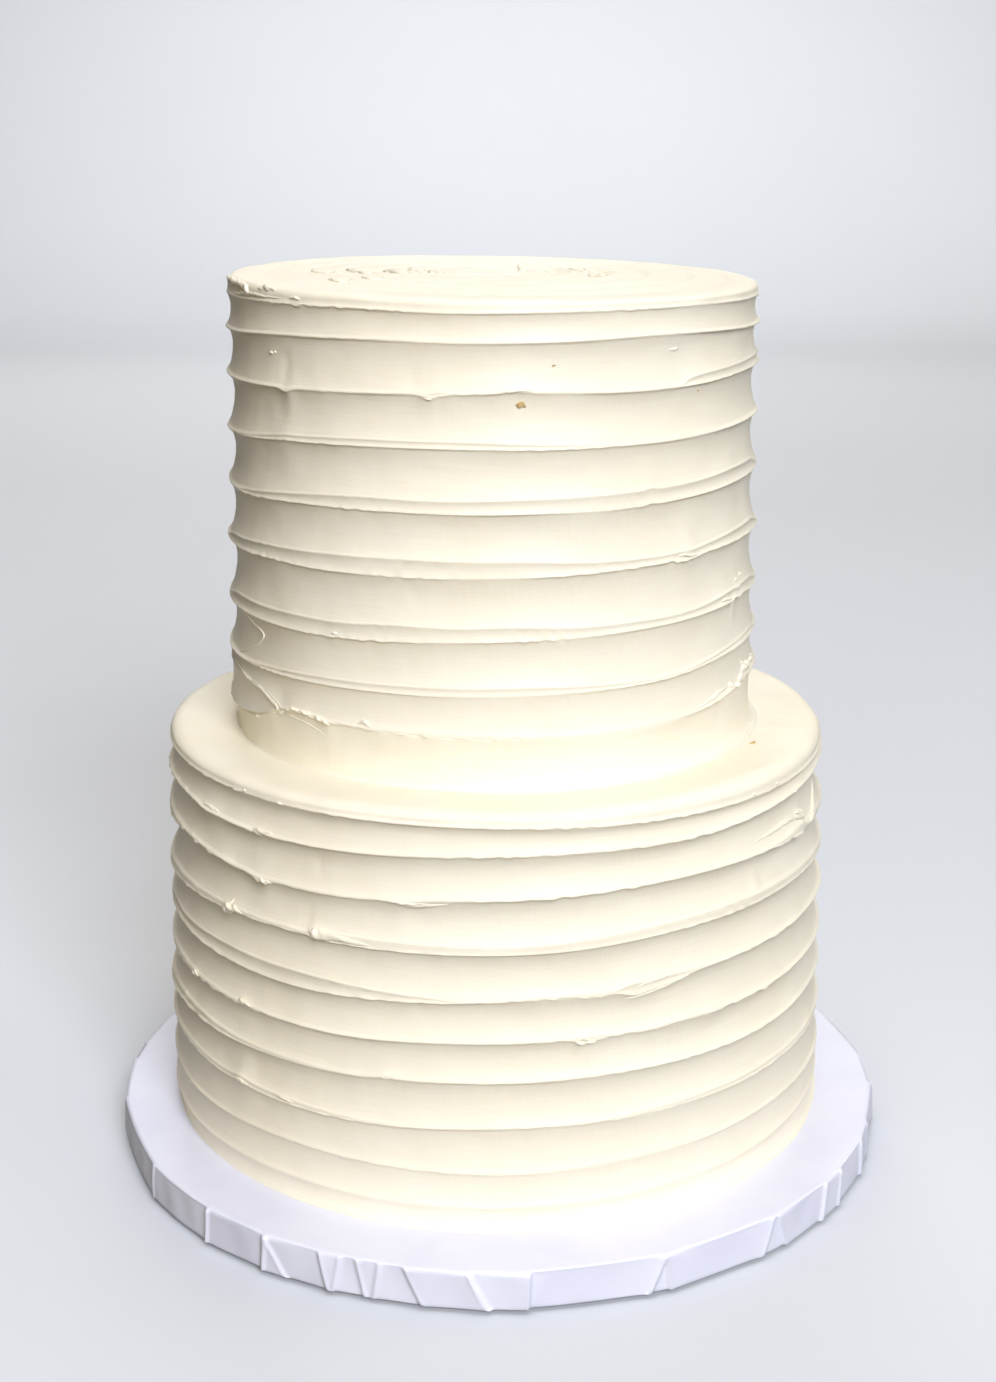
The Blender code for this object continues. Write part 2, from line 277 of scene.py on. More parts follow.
TOP_BEADS = (
    Bead(((-67.7, 181.3), (-64.8, 179.0), (-61.8, 177.3), (-58.6, 176.4), (-56.9, 175.0),
          (-58.2, 172.8), (-61.3, 170.0), (-65.7, 167.4), (-70.0, 165.6)),
         0.8, 0.45, 0.08, (0.1, 0.1)),
    Bead(((-78.0, 160.6), (-70.7, 160.3), (-64.4, 159.8), (-59.8, 159.0), (-55.5, 158.2),
          (-52.6, 156.7), (-50.7, 155.4), (-48.9, 154.1)),
         1.5, 0.6, 0.08, (0.7, 0.06)),
    Bead(((-76.0, 147.5), (-71.0, 147.3), (-68.2, 147.1), (-64.6, 147.6), (-61.5, 148.2),
          (-58.9, 148.9), (-55.6, 150.5), (-52.3, 152.0), (-49.6, 153.3)),
         0.8, 0.4, 0.15, (0.1, 0.2)),
    Bead(((-49.9, 153.6), (-49.0, 153.5), (-48.0, 153.8)), 1.4, 0.7, 0.2),
    Bead(((-69.0, 147.0), (-68.2, 147.3), (-67.4, 147.2)), 0.9, 0.6, 0.2),
    Bead(((-59.9, 148.5), (-58.9, 148.8), (-57.9, 148.9)), 1.0, 0.7, 0.2),
    Bead(((-46.6, 155.2), (-45.5, 155.6), (-43.9, 156.1), (-42.6, 155.8)), 1.0, 0.7, 0.25, (0.3, 0.3)),
    Bead(((-42.0, 155.9), (-40.6, 155.9), (-39.3, 155.8)), 1.0, 0.7, 0.25, (0.3, 0.3)),
    Bead(((-38.6, 155.6), (-37.2, 155.3), (-36.2, 155.0), (-35.0, 154.3), (-34.4, 153.6)),
         1.1, 0.7, 0.25, (0.3, 0.3)),
    Bead(((-48.9, 153.5), (-45.8, 153.3), (-43.3, 152.8), (-41.2, 152.4), (-39.5, 151.8),
          (-37.5, 150.8), (-35.5, 149.6)),
         0.6, 0.22, 0.1, (0.2, 0.4)),
    Bead(((-27.6, 155.6), (-26.0, 156.2), (-24.6, 155.2)), 1.3, 0.6, 0.2),
    Bead(((-33.8, 182.0), (-33.0, 182.3), (-32.0, 182.0)), 0.9, 0.4, 0.2),
    Bead(((43.0, 154.8), (48.3, 155.8), (52.3, 156.7), (55.6, 157.7), (58.8, 158.2)),
         1.3, 0.6, 0.15, (0.6, 0.3)),
    Bead(((59.0, 158.1), (60.2, 158.2), (61.2, 157.8)), 1.6, 1.1, 0.25),
    Bead(((62.0, 157.2), (63.0, 157.3), (64.0, 157.0)), 1.5, 1.1, 0.25),
    Bead(((64.2, 157.8), (65.8, 158.8), (67.6, 159.6)), 1.3, 0.9, 0.25, (0.3, 0.3)),
    Bead(((66.5, 159.4), (69.0, 160.2), (71.5, 160.4), (74.5, 160.0)), 2.6, 1.1, 0.3, (0.4, 0.3)),
    Bead(((69.3, 160.8), (68.4, 162.4), (67.8, 163.8)), 1.0, 0.7, 0.2, (0.2, 0.8)),
    Bead(((74.0, 160.2), (78.0, 160.6), (83.0, 160.4)), 1.8, 0.9, 0.3, (0.4, 0.6)),
    Bead(((55.0, 186.3), (57.0, 186.5), (59.6, 186.0)), 1.0, 0.5, 0.2, (0.5, 0.2)),
    Bead(((62.0, 191.1), (63.4, 191.6)), 0.9, 0.5, 0.2, (0.5, 0.5)),
    Bead(((64.7, 191.8), (66.8, 192.2)), 0.9, 0.5, 0.2, (0.5, 0.5)),
    Bead(((-84.0, 284.4), (-77.0, 284.6), (-69.5, 284.2), (-64.0, 283.9), (-60.0, 283.4)),
         2.0, 0.8, 0.3, (0.3, 0.15)),
    Bead(((-61.6, 284.2), (-60.4, 283.0), (-59.8, 281.4)), 1.6, 0.8, 0.25, (0.3, 0.2)),
    Bead(((-70.0, 280.7), (-65.6, 280.8), (-60.2, 281.6), (-56.3, 281.6), (-52.0, 281.4),
          (-47.0, 281.4)),
         1.3, 0.5, 0.3, (0.3, 0.5)),
    Bead(((-56.0, 283.4), (-52.5, 284.0), (-49.0, 283.4)), 2.2, 0.6, 0.3, (0.4, 0.5)),
    Bead(((-44.5, 281.6), (-42.7, 281.9), (-41.0, 281.6)), 1.0, 0.5, 0.2),
    Bead(((-52.9, 264.2), (-52.0, 264.4), (-51.3, 264.1)), 1.0, 0.6),
    Bead(((-50.9, 264.7), (-50.3, 264.6)), 0.8, 0.5, 0.3, (0.5, 0.5)),
    Bead(((-13.6, 254.6), (-12.4, 254.2), (-11.4, 254.4)), 0.8, 0.4, 0.2),
    Bead(((50.0, 138.8), (60.0, 138.7), (68.0, 138.7), (76.0, 138.8), (86.0, 139.0)),
         0.9, 0.35, 0.1, (0.4, 0.2)),
    Bead(((2.6, 256.4), (5.0, 256.9), (8.0, 256.9)), 0.7, 0.3, 0.1, (0.2, 0.6)),
    Bead(((40.2, 204.4), (43.0, 203.9), (46.0, 203.6)), 0.9, 0.5, 0.3, (0.3, 0.5)),
    Bead(((38.0, 266.6), (39.6, 266.9), (41.0, 266.7)), 1.4, 0.35, 0.2, (0.5, 0.5)),
)
# Torn ridges on the top face: x, y from its middle
TOP_FACE_BEADS = (
    Bead(((2.0, -17.0), (6.5, -15.0), (9.2, -7.0), (10.0, 4.0), (9.3, 16.0), (9.6, 24.0), (11.5, 32.0)),
         2.6, 0.62, 0.1, (0.3, 0.1)),
    Bead(((-22.0, -13.0), (-14.0, -16.0), (-6.0, -17.5), (2.0, -17.0)), 2.0, 0.38, 0.1),
    Bead(((-58.0, 4.0), (-55.5, -4.0), (-53.0, -14.0)), 6.5, 0.75),
    Bead(((-50.5, -28.0), (-47.5, -36.0), (-45.0, -42.0)), 5.5, 0.62),
    Bead(((-47.0, 12.0), (-43.0, -2.0), (-39.0, -14.0)), 7.0, 0.81),
    Bead(((-41.0, -22.0), (-37.0, -31.0), (-32.0, -34.0)), 5.0, 0.56),
    Bead(((-34.0, 6.0), (-31.0, -4.0), (-28.0, -14.0)), 6.5, 0.75),
    Bead(((-27.0, 10.0), (-25.0, 2.0), (-22.0, -6.0)), 4.0, 0.62),
    Bead(((-20.0, 0.0), (-18.0, -6.0), (-14.0, -11.0)), 4.0, 0.56),
    Bead(((17.0, 0.0), (20.0, -6.0), (27.0, -18.0)), 3.0, 0.62, 0.2, (0.3, 0.3)),
    Bead(((27.0, 14.0), (28.5, 4.0), (31.0, -4.0)), 4.0, 0.75),
    Bead(((31.5, -6.0), (33.5, -14.0), (37.5, -24.0)), 4.8, 0.81, 0.3, (0.3, 0.4)),
    Bead(((22.0, 18.0), (31.0, 13.0), (41.0, 6.0)), 2.4, 0.5, 0.15),
)


def length_setting(name, description, default):
    """A setting for a length in metres."""
    return FloatProperty(name=name, description=description, default=default, unit="LENGTH")


def colour_setting(name, description, *channels):
    """A setting for a linear colour from its red, green and blue, with full alpha."""
    return FloatVectorProperty(
        name=name, description=description, default=(*channels, 1.0), subtype="COLOR", size=4
    )


class CakeSizes(bpy.types.PropertyGroup):
    """Sizes of the icing and the board that a maker would change."""

    bottom_radius: length_setting(
        "Bottom crest radius", "Radius of the lower tier at its crests", 0.1084
    )
    top_radius: length_setting("Top crest radius", "Radius of the upper tier at its crests", 0.0866)
    bottom_hollow: length_setting(
        "Bottom hollow depth",
        "Depth of the spatula's hollows between the crests of the lower tier",
        0.0019,
    )
    top_hollow: length_setting(
        "Top hollow depth",
        "Depth of the spatula's hollows between the crests of the upper tier",
        0.0016,
    )
    ring_pitch: length_setting("Ring pitch", "Spacing of the spatula rings on the top face", 0.0131)
    ring_depth: length_setting("Ring depth", "Depth of the spatula rings on the top face", 0.0010)
    fold_height: length_setting(
        "Fold height", "How far the folds of the paper stand out of the board's edge", 0.0009
    )


class CakeColours(bpy.types.PropertyGroup):
    """Colours and gloss of the icing, the crumbs and the board."""

    cream_light: colour_setting("Cream, light", "Ivory of the smooth buttercream", 0.915, 0.865, 0.72)
    cream_deep: colour_setting(
        "Cream, deep", "Slightly deeper ivory of the thicker buttercream", 0.895, 0.83, 0.665
    )
    cream_roughness: FloatProperty(
        name="Cream roughness",
        description="Roughness of the buttercream's surface",
        default=0.46,
        subtype="FACTOR",
    )
    paper_white: colour_setting("Paper white", "Cool white of the paper wrap", 0.80, 0.815, 0.92)
    paper_shade: colour_setting(
        "Paper shade", "Greyer white in the worn parts of the paper wrap", 0.74, 0.755, 0.88
    )
    crumb_brown: colour_setting(
        "Crumb brown", "Golden brown of the crumbs caught in the icing", 0.42, 0.27, 0.09
    )
    floor_grey: colour_setting(
        "Floor grey", "Pale grey of the floor and backdrop", 0.69, 0.72, 0.765
    )


def tier_turns(columns):
    """Bearings of a tier's columns, in radians, once round from the back: an even turn less a
    sine of it, which draws them closer together in front."""
    even = np.linspace(-math.pi, math.pi, columns, endpoint=False)
    return even - FRONT_CROWDING * np.sin(even)


def off_bearing(turn, bearing):
    """Degrees from a bearing, wrapped to between -180 and 180."""
    return (np.degrees(turn) - bearing + 180.0) % 360.0 - 180.0


def ripple(turn, seed, slowest, fastest):
    """Unevenness round a tier: the sum of sine waves of slowest to fastest cycles a turn, each
    with its own seeded phase and strength, scaled to a root mean square of one."""
    rng = np.random.default_rng(seed)
    cycles = np.arange(slowest, fastest + 1)
    phases = rng.uniform(0.0, math.tau, len(cycles))
    strengths = rng.uniform(0.4, 1.0, len(cycles)) / np.sqrt(cycles)
    waves = strengths[:, None] * np.sin(cycles[:, None] * turn[None, :] + phases[:, None])
    return waves.sum(0) / math.sqrt(0.5 * float((strengths**2).sum()))


def smooth_step(share):
    """Nothing below 0, one above 1, and an even S between."""
    share = np.clip(share, 0.0, 1.0)
    return share * share * (3.0 - 2.0 * share)


# Bearings, in degrees, at which the crest lines are given, and how many more lie behind
KNOT_STEP = 36.0
FIRST_KNOT = -72.0
BACK_KNOTS = 5


def knots_all_round(front, seed, sway):
    """The values at the five front knots, then five at the back that walk evenly from the
    right end to the left end with a little seeded sway."""
    rng = np.random.default_rng(seed)
    steps = np.arange(1, BACK_KNOTS + 1) / (BACK_KNOTS + 1.0)
    back = front[-1] + (front[0] - front[-1]) * steps + rng.uniform(-sway, sway, BACK_KNOTS)
    return np.concatenate([np.array(front, dtype=float), back])


def through_knots(knots, turn):
    """A smooth closed line through evenly spaced knots: at each bearing the Catmull-Rom cubic
    of the two knots before it and the two after it."""
    place = (np.degrees(turn) - FIRST_KNOT) / KNOT_STEP
    start = np.floor(place).astype(int)
    t = place - start
    p0, p1, p2, p3 = (knots[(start + step) % len(knots)] for step in (-1, 0, 1, 2))
    straight = 2.0 * p1 + (p2 - p0) * t
    bend = (2.0 * p0 - 5.0 * p1 + 4.0 * p2 - p3) * t**2
    return 0.5 * (straight + bend + (3.0 * (p1 - p2) + p3 - p0) * t**3)


class Tier(NamedTuple):
    """What sets one tier apart: its solid, its crest lines and the shape of its top and foot."""

    node: str
    slot: str
    centre: tuple
    underside: float
    top: float
    rim: tuple
    crests: tuple
    forks: tuple
    nicks: tuple
    splits: tuple
    soft: tuple
    dents: tuple
    beads: tuple
    face_beads: tuple
    shoulder: float
    corner: float
    rings: int
    pitch: float
    rim_ragged: float
    foot: float
    seed: int


BOTTOM = Tier(
    node="bottom_tier",
    slot="bottom_buttercream",
    centre=(-1.0, 3.0),
    underside=BOARD_TOP / MM - 0.1,
    top=137.9,
    rim=BOTTOM_RIM,
    crests=BOTTOM_CRESTS,
    forks=BOTTOM_FORKS,
    nicks=BOTTOM_NICKS,
    dents=BOTTOM_DENTS,
    splits=BOTTOM_SPLITS,
    soft=BOTTOM_SOFT,
    beads=BOTTOM_BEADS,
    face_beads=(),
    shoulder=5.0,
    corner=0.85,
    rings=0,
    pitch=12.5,
    rim_ragged=0.5,
    foot=0.8,
    seed=101,
)
TOP = Tier(
    node="top_tier",
    slot="top_buttercream",
    centre=(-2.0, 0.5),
    underside=LEDGE / MM - 0.2,
    top=285.8,
    rim=TOP_RIM,
    crests=TOP_CRESTS,
    forks=TOP_FORKS,
    nicks=TOP_NICKS,
    dents=TOP_DENTS,
    splits=TOP_SPLITS,
    soft=TOP_SOFT,
    beads=TOP_BEADS,
    face_beads=TOP_FACE_BEADS,
    shoulder=3.0,
    corner=0.62,
    rings=6,
    pitch=16.0,
    rim_ragged=0.35,
    foot=1.6,
    seed=211,
)

# Course of the crests: sway of the knots behind, slow waves of an edge and its stand-out in
# mm and of a flat as a share, and the part of a flat that is lost at the cake's two limbs
EDGE_SWAY = 0.9
FLAT_SWAY = 0.6
RIM_SWAY = 0.5
EDGE_WAVE = 0.07
PROUD_WAVE = 0.07
FLAT_WAVE = 0.03
NARROWEST_FLAT = 0.9
PINCH = 0.7
PINCH_START, PINCH_START_EASE = 70.0, 12.0
PINCH_END, PINCH_END_EASE = 100.0, 20.0
# How much wider a nick makes the flat, and how far past its start a fork has closed
NICK_WIDENING = 0.3
FORK_UPPER_REACH = 0.45
FORK_END, FORK_EASE = 95.0, 35.0
# Strength of the lips: its slow wave and limits, what it gains towards the sides, and over
# how many degrees a softened stretch ends
LIP_WAVE = 0.3
LIP_WEAKEST, LIP_STRONGEST = 0.4, 1.8
LIP_AT_SIDES = 1.2
SIDES_START, SIDES_EASE = 30.0, 35.0
SOFT_EASE = 8.0
# Raggedness: what a fully torn lip rises and stands out by in mm, and its waves a turn
TORN_RISE = 0.16
TORN_PROUD = 0.20
TORN_WAVES = (45, 170)
# The rim's stand-out from the crests' radius and its slow waves, in mm
RIM_PROUD = 0.10
RIM_WAVE = 0.10
CREST_SEEDS = 17
HOLLOW_SEEDS = 31


class CrestCourse(NamedTuple):
    """A crest round its tier, in mm: edges, stand-out, strength of the lips, how far its flat
    is a grooved strip, and the ragged rise and stand-out of the lower lip."""

    lower: np.ndarray
    upper: np.ndarray
    proud: np.ndarray
    lip: np.ndarray
    groove: float
    lip_rise: np.ndarray
    lip_proud: np.ndarray


def torn_share(turn, seed, fastest):
    """How torn an edge is round its tier: a slow ripple about its mean, kept above nothing."""
    return np.clip(0.7 + 0.5 * ripple(turn, seed, 3, fastest), 0.1, 2.0)


def part_edges(tier, index, turn, lower, upper):
    """Move a crest's edges apart, in place, at its forks and splits: a fork by an amount that
    grows from nothing and levels off, then closes at the back, and a split by one that opens
    quickly at its start and closes slowly to its end."""
    for fork in tier.forks:
        if fork.crest == index:
            past = np.maximum(off_bearing(turn, fork.bearing) * fork.side, 0.0)
            closing = smooth_step((FORK_END - past) / FORK_EASE)
            upper += fork.up * (1.0 - np.exp(-past / (FORK_UPPER_REACH * fork.reach))) * closing
            lower -= fork.down * (1.0 - np.exp(-past / fork.reach)) * closing
    for split in tier.splits:
        if split.crest == index:
            side = math.copysign(1.0, split.end - split.start)
            past = off_bearing(turn, split.start) * side
            reach = abs(split.end - split.start)
            apart = smooth_step(past / split.opening + 0.5) * (1.0 - smooth_step(past / reach))
            upper += split.up * apart
            lower -= split.down * apart


def lip_strength(tier, index, turn, seed):
    """How strong a crest's lips are round its tier: a slow wave between two limits, more
    towards the sides, and less where the crest was smoothed."""
    wave = np.clip(1.0 + LIP_WAVE * ripple(turn, seed, 3, 16), LIP_WEAKEST, LIP_STRONGEST)
    lip = tier.crests[index].lip * wave
    lip *= 1.0 + LIP_AT_SIDES * smooth_step((np.abs(np.degrees(turn)) - SIDES_START) / SIDES_EASE)
    for soft in tier.soft:
        if soft.crest == index:
            half = 0.5 * (soft.end - soft.start)
            past = np.abs(off_bearing(turn, soft.start + half))
            lip *= 1.0 - (1.0 - soft.share) * (1.0 - smooth_step((past - half) / SOFT_EASE + 0.5))
    return lip


def crest_course(tier, index, turn):
    """The smooth course of one crest round the tier, and its raggedness, in millimetres.

    The lower edge is the smooth line through its knots plus a slow ripple and the kinks near
    it, and the upper edge lies one flat's width higher, or more where the crest parts. The
    raggedness is a fine ripple that comes and goes, for the crest's lip alone.
    """
    crest = tier.crests[index]
    seed = tier.seed + CREST_SEEDS * index
    lower = through_knots(knots_all_round(crest.edge, seed, EDGE_SWAY), turn)
    flat = through_knots(knots_all_round(crest.flat, seed + 1, FLAT_SWAY), turn)
    lower += EDGE_WAVE * ripple(turn, seed + 2, 5, 14)
    aside = np.abs(np.degrees(turn))
    pinch = smooth_step((aside - PINCH_START) / PINCH_START_EASE)
    pinch *= 1.0 - smooth_step((aside - PINCH_END) / PINCH_END_EASE)
    flat = flat * (1.0 + FLAT_WAVE * ripple(turn, seed + 3, 5, 16)) * (1.0 - PINCH * pinch)
    upper = lower + np.maximum(flat, NARROWEST_FLAT)
    proud = PROUD_WAVE * ripple(turn, seed + 4, 3, 12)
    for nick in tier.nicks:
        if nick.crest == index:
            bump = np.exp(-((off_bearing(turn, nick.bearing) / nick.spread) ** 2))
            lower += nick.lift * bump
            upper += nick.lift * bump + NICK_WIDENING * abs(nick.lift) * bump
            proud += nick.proud * bump
    part_edges(tier, index, turn, lower, upper)
    torn = crest.ragged * torn_share(turn, seed + 5, 11)
    return CrestCourse(
        lower,
        upper,
        proud,
        lip_strength(tier, index, turn, seed + 8),
        crest.groove,
        TORN_RISE * torn * ripple(turn, seed + 6, *TORN_WAVES),
        TORN_PROUD * torn * ripple(turn, seed + 7, *TORN_WAVES),
    )


def rim_course(tier, turn):
    """The course of the rim, the crest at the top of the side, in mm."""
    lower = through_knots(knots_all_round(tier.rim, tier.seed, RIM_SWAY), turn)
    lower += RIM_WAVE * ripple(turn, tier.seed + 8, 5, 14)
    torn = tier.rim_ragged * torn_share(turn, tier.seed + 11, 9)
    return CrestCourse(
        lower,
        lower + NARROWEST_FLAT,
        RIM_PROUD + RIM_WAVE * ripple(turn, tier.seed + 10, 2, 12),
        1.0 + LIP_WAVE * ripple(turn, tier.seed + 13, 3, 16),
        1.0,
        TORN_RISE * torn * ripple(turn, tier.seed + 9, *TORN_WAVES),
        TORN_RISE * torn * ripple(turn, tier.seed + 12, *TORN_WAVES),
    )


# Section of the crests, in mm: stand-out of a lip of strength one and what a wide bead gains,
# how far the row above it and the one below it lie inside it, and its fall to the hollow
LIP_PROUD = 0.24
WIDE_BEAD_GAIN = 0.4
LIP_INSET = 0.16
LOWER_LIP = 0.22
LIP_DROP = 0.30
# The strip between the lips: its groove under the upper lip, its dish for each mm of width up
# to a widest, its ends from the two edges, and how much further in they are where it is wide
UPPER_LIP = 0.10
STRIP_DISH, DISH_WIDEST = 0.06, 3.0
STRIP_TOP, STRIP_TOP_WIDE = 0.40, 0.08
STRIP_FOOT, STRIP_FOOT_WIDE = 0.34, 0.2
# Heights of the lips' rows from their edges, and how full a narrow flat is between them
ABOVE_LIP, UNDER_UPPER_LIP = 0.16, 0.17
LIP_TIP, LIP_UNDER, LIP_BACK = 0.22, 0.04, -0.12
BEAD_FULLNESS = 0.9
# Where a hollow is deepest (0 above, 1 below), its rows, and the limits of its depth: its
# width in mm at least, and in pitches at most
HOLLOW_MIDDLE = 0.44
HOLLOW_ROWS = (0.04, 0.15, 0.34, 0.58, 0.81, 0.95)
NARROWEST_HOLLOW = 2.0
WIDEST_HOLLOW = 1.15
HOLLOW_WAVE = 0.07


def hollow_shape(t):
    """Depth of a spatula's hollow from its upper edge (0) to its lower edge (1), as a share of
    the deepest: two half parabolas that meet at the deepest place, a little above the middle."""
    above = 1.0 - np.abs(1.0 - t / HOLLOW_MIDDLE) ** 2.0
    below = 1.0 - np.abs((t - HOLLOW_MIDDLE) / (1.0 - HOLLOW_MIDDLE)) ** 2.0
    return np.where(t < HOLLOW_MIDDLE, above, below)


def crest_rows(course, crest_r):
    """Rows of one crest, in mm: a small lip at its upper edge, the shallow strip between, and
    a rounded lip at its lower edge that drops back sharply under itself.

    Where the flat is narrow, the two lips run together into one rounded bead.
    """
    width = course.upper - course.lower
    wide = smooth_step(width - NARROWEST_FLAT) * course.groove
    narrow = 1.0 - wide
    dish = STRIP_DISH * np.minimum(width, DISH_WIDEST) * (wide - narrow * (1.0 - course.groove))
    gain = 1.0 + WIDE_BEAD_GAIN * smooth_step(width - NARROWEST_FLAT) * narrow
    swell = LIP_PROUD * course.lip * gain
    tip = crest_r + swell + course.lip_proud
    top_lip = course.upper + 0.5 * course.lip_rise
    low_lip = course.lower + course.lip_rise
    strip_top = top_lip - STRIP_TOP - STRIP_TOP_WIDE * wide
    strip_foot = low_lip + STRIP_FOOT + STRIP_FOOT_WIDE * wide
    strip_r = crest_r + BEAD_FULLNESS * swell * narrow
    full_r = strip_r + 0.1 * swell * narrow
    return [
        (crest_r - LIP_INSET * np.minimum(course.lip, 1.5), top_lip + ABOVE_LIP),
        (crest_r + 0.5 * swell + 0.5 * course.lip_proud, top_lip - UNDER_UPPER_LIP),
        (strip_r - UPPER_LIP * wide, strip_top),
        (full_r - 0.6 * UPPER_LIP * wide - dish, 0.5 * (strip_top + strip_foot)),
        (full_r, strip_foot),
        (tip, low_lip + LIP_TIP),
        (tip - 0.06, low_lip + LIP_UNDER),
        (crest_r - 0.5 * (LOWER_LIP * course.lip) + 0.5 * course.lip_proud, low_lip + LIP_BACK),
    ]


def side_rows(tier, turn, radius, hollow, rim):
    """Radii and heights of the side's rows from the rim's crest down to the last one, in mm.

    Between two crests a row's height is a fixed share of the way from one to the other, and
    its radius is the crests' own radius less the hollow's depth there. The depth goes with
    the width of the hollow, times a slow ripple.
    """
    rows = crest_rows(rim, radius + rim.proud)
    edge_r = radius + rim.proud - LOWER_LIP * rim.lip
    edge_z = rim.lower - LIP_DROP
    usual = hollow / tier.pitch
    for index, crest in enumerate(tier.crests):
        course = crest_course(tier, index, turn)
        crest_r = radius + course.proud
        gap = edge_z - course.upper
        uneven = 1.0 + HOLLOW_WAVE * ripple(turn, tier.seed + HOLLOW_SEEDS * index, 2, 9)
        width = np.clip(gap, NARROWEST_HOLLOW, WIDEST_HOLLOW * tier.pitch)
        depth = usual * crest.hollow * width * uneven
        for t in HOLLOW_ROWS:
            level = edge_r + (crest_r - LIP_INSET - edge_r) * t
            rows.append((level - depth * hollow_shape(np.float64(t)), edge_z - gap * t))
        rows += crest_rows(course, crest_r)
        edge_r = crest_r - LOWER_LIP * course.lip
        edge_z = course.lower - LIP_DROP
    return rows, edge_r, edge_z


# The foot: columns that its radius is evened over, the bearings between which it was smeared
# out, its width there and elsewhere as shares of the tier's own, and its slow wave
FOOT_EVENING = 41
SMEAR_START, SMEAR_START_EASE = -30.0, 40.0
SMEAR_END, SMEAR_END_EASE = 88.0, 45.0
FOOT_WIDTH = 0.3
SMEAR_WIDTH = 1.5
FOOT_WAVE = 0.10
# Its fillet's height in widths and the angles of its rows, and above it the last hollow: its
# rows, its depth against the usual one, the part of its section, and how far its end lies in
FILLET_HEIGHT = 1.4
FILLET_ANGLES = (0.0, 18.0, 36.0, 54.0, 70.0, 82.0, 90.0)
FOOT_ROWS = (0.03, 0.12, 0.3, 0.55, 0.8)
FOOT_HOLLOW = 0.6
FOOT_HOLLOW_PART = 0.75
FOOT_INSET = 0.15


def evened(values):
    """A ring of values, each replaced by the mean of its neighbours over a stretch of it."""
    reach = FOOT_EVENING // 2
    around = np.concatenate([values[-reach:], values, values[:reach]])
    return np.convolve(around, np.ones(FOOT_EVENING) / FOOT_EVENING, mode="valid")


def foot_rows(tier, turn, edge_r, edge_z, hollow):
    """Rows from the last crest down to what the tier stands on, in mm: a shallow hollow, then
    a fillet, a quarter of an ellipse that is wide where the icing was smeared out level."""
    smear = smooth_step((np.degrees(turn) - SMEAR_START) / SMEAR_START_EASE)
    smear *= 1.0 - smooth_step((np.degrees(turn) - SMEAR_END) / SMEAR_END_EASE)
    uneven = FOOT_WAVE * ripple(turn, tier.seed + 50, 3, 20)
    wide = tier.foot * (FOOT_WIDTH + SMEAR_WIDTH * smear + uneven)
    tall = FILLET_HEIGHT * wide
    start_r = evened(edge_r) - FOOT_INSET * hollow
    gap = edge_z - (tier.underside + tall)
    depth = FOOT_HOLLOW * hollow
    rows = []
    for t in FOOT_ROWS:
        level = edge_r + (start_r - edge_r) * t
        rows.append((level - depth * hollow_shape(np.float64(FOOT_HOLLOW_PART * t)), edge_z - gap * t))
    base_r = start_r - depth * hollow_shape(np.float64(FOOT_HOLLOW_PART))
    for angle in np.radians(FILLET_ANGLES):
        out = wide * (1.0 - math.cos(angle))
        rows.append((base_r + out, tier.underside + 0.1 + tall * (1.0 - math.sin(angle))))
    rows.append((base_r + wide, tier.underside + 0.0 * turn))
    return rows


# The ringed top face: its fall to the rim in mm, most at one bearing, by how much more than
# the mean, and the power of the way out that it follows, and its tilt with its bearing
FACE_FALL = 1.5
FACE_FALL_BEARING = 60.0
FACE_FALL_SWING = 0.85
FACE_FALL_POWER = 2.5
FACE_TILT = 0.6
FACE_TILT_BEARING = 205.0
# Its rings: share of the way from one to the next, and share of the depth there
RING_ROWS = ((0.06, 0.02), (0.45, 0.45), (0.80, 1.0), (0.91, 0.55), (1.0, 0.0))
# Their mean strength, its swing and the bearing, in radians, that it lags by, their wander
# and the least distance from the shoulder in mm, and the wave of their depth
RING_STRENGTH, RING_SWING, RING_LAG = 0.68, 0.32, 0.3
RING_WANDER = 0.45
RING_MARGIN = 0.6
RING_WAVE = 0.22
# The plain top face: its rows, as shares of the way to the shoulder, and its drift in mm
PLAIN_ROWS = (0.3, 0.78, 0.84, 0.88, 0.92, 0.96)
PLAIN_DRIFT = 0.10
# The shoulder: angles of its rows, its slow wave in mm with the shares of it that go out and
# up, its foot's height above the rim's crest, and how many of its rows count as side
SHOULDER_ANGLES = (0.0, 10.0, 25.0, 45.0, 65.0, 80.0)
SHOULDER_WAVE = 0.20
WAVE_OUT, WAVE_UP = 0.4, 0.5
SHOULDER_FOOT = 0.25
SHOULDER_ROWS_ON_SIDE = 3


def face_rise(turn, share):
    """Height of the ringed top face above its middle, in mm, at a share of the way out: a
    plane's tilt, less a power of the share that is greatest at one bearing."""
    towards = 1.0 + FACE_FALL_SWING * np.cos(turn - math.radians(FACE_FALL_BEARING))
    tilt = FACE_TILT * share * np.cos(turn - math.radians(FACE_TILT_BEARING))
    return tilt - FACE_FALL * towards * share**FACE_FALL_POWER


def ring_rows(tier, turn, rim_r, ring_pitch, ring_depth):
    """Rows of a ringed top face, in mm: rings that fall slowly and then rise steeply to the
    next, strong on the right and faint on the left."""
    rows = []
    strength = RING_STRENGTH + RING_SWING * np.sin(turn - RING_LAG)
    inner = np.zeros_like(turn)
    for ring in range(tier.rings):
        wander = RING_WANDER * ripple(turn, tier.seed + 60 + ring, 1, 6)
        outer = np.minimum(ring_pitch * (ring + 1) + wander, rim_r - tier.shoulder - RING_MARGIN)
        uneven = 1.0 + RING_WAVE * ripple(turn, tier.seed + 80 + ring, 1, 12)
        depth = ring_depth * strength * uneven
        for t, low in RING_ROWS:
            r = inner + (outer - inner) * t
            rows.append((r, tier.top - depth * low + face_rise(turn, r / rim_r)))
        inner = outer
    return rows


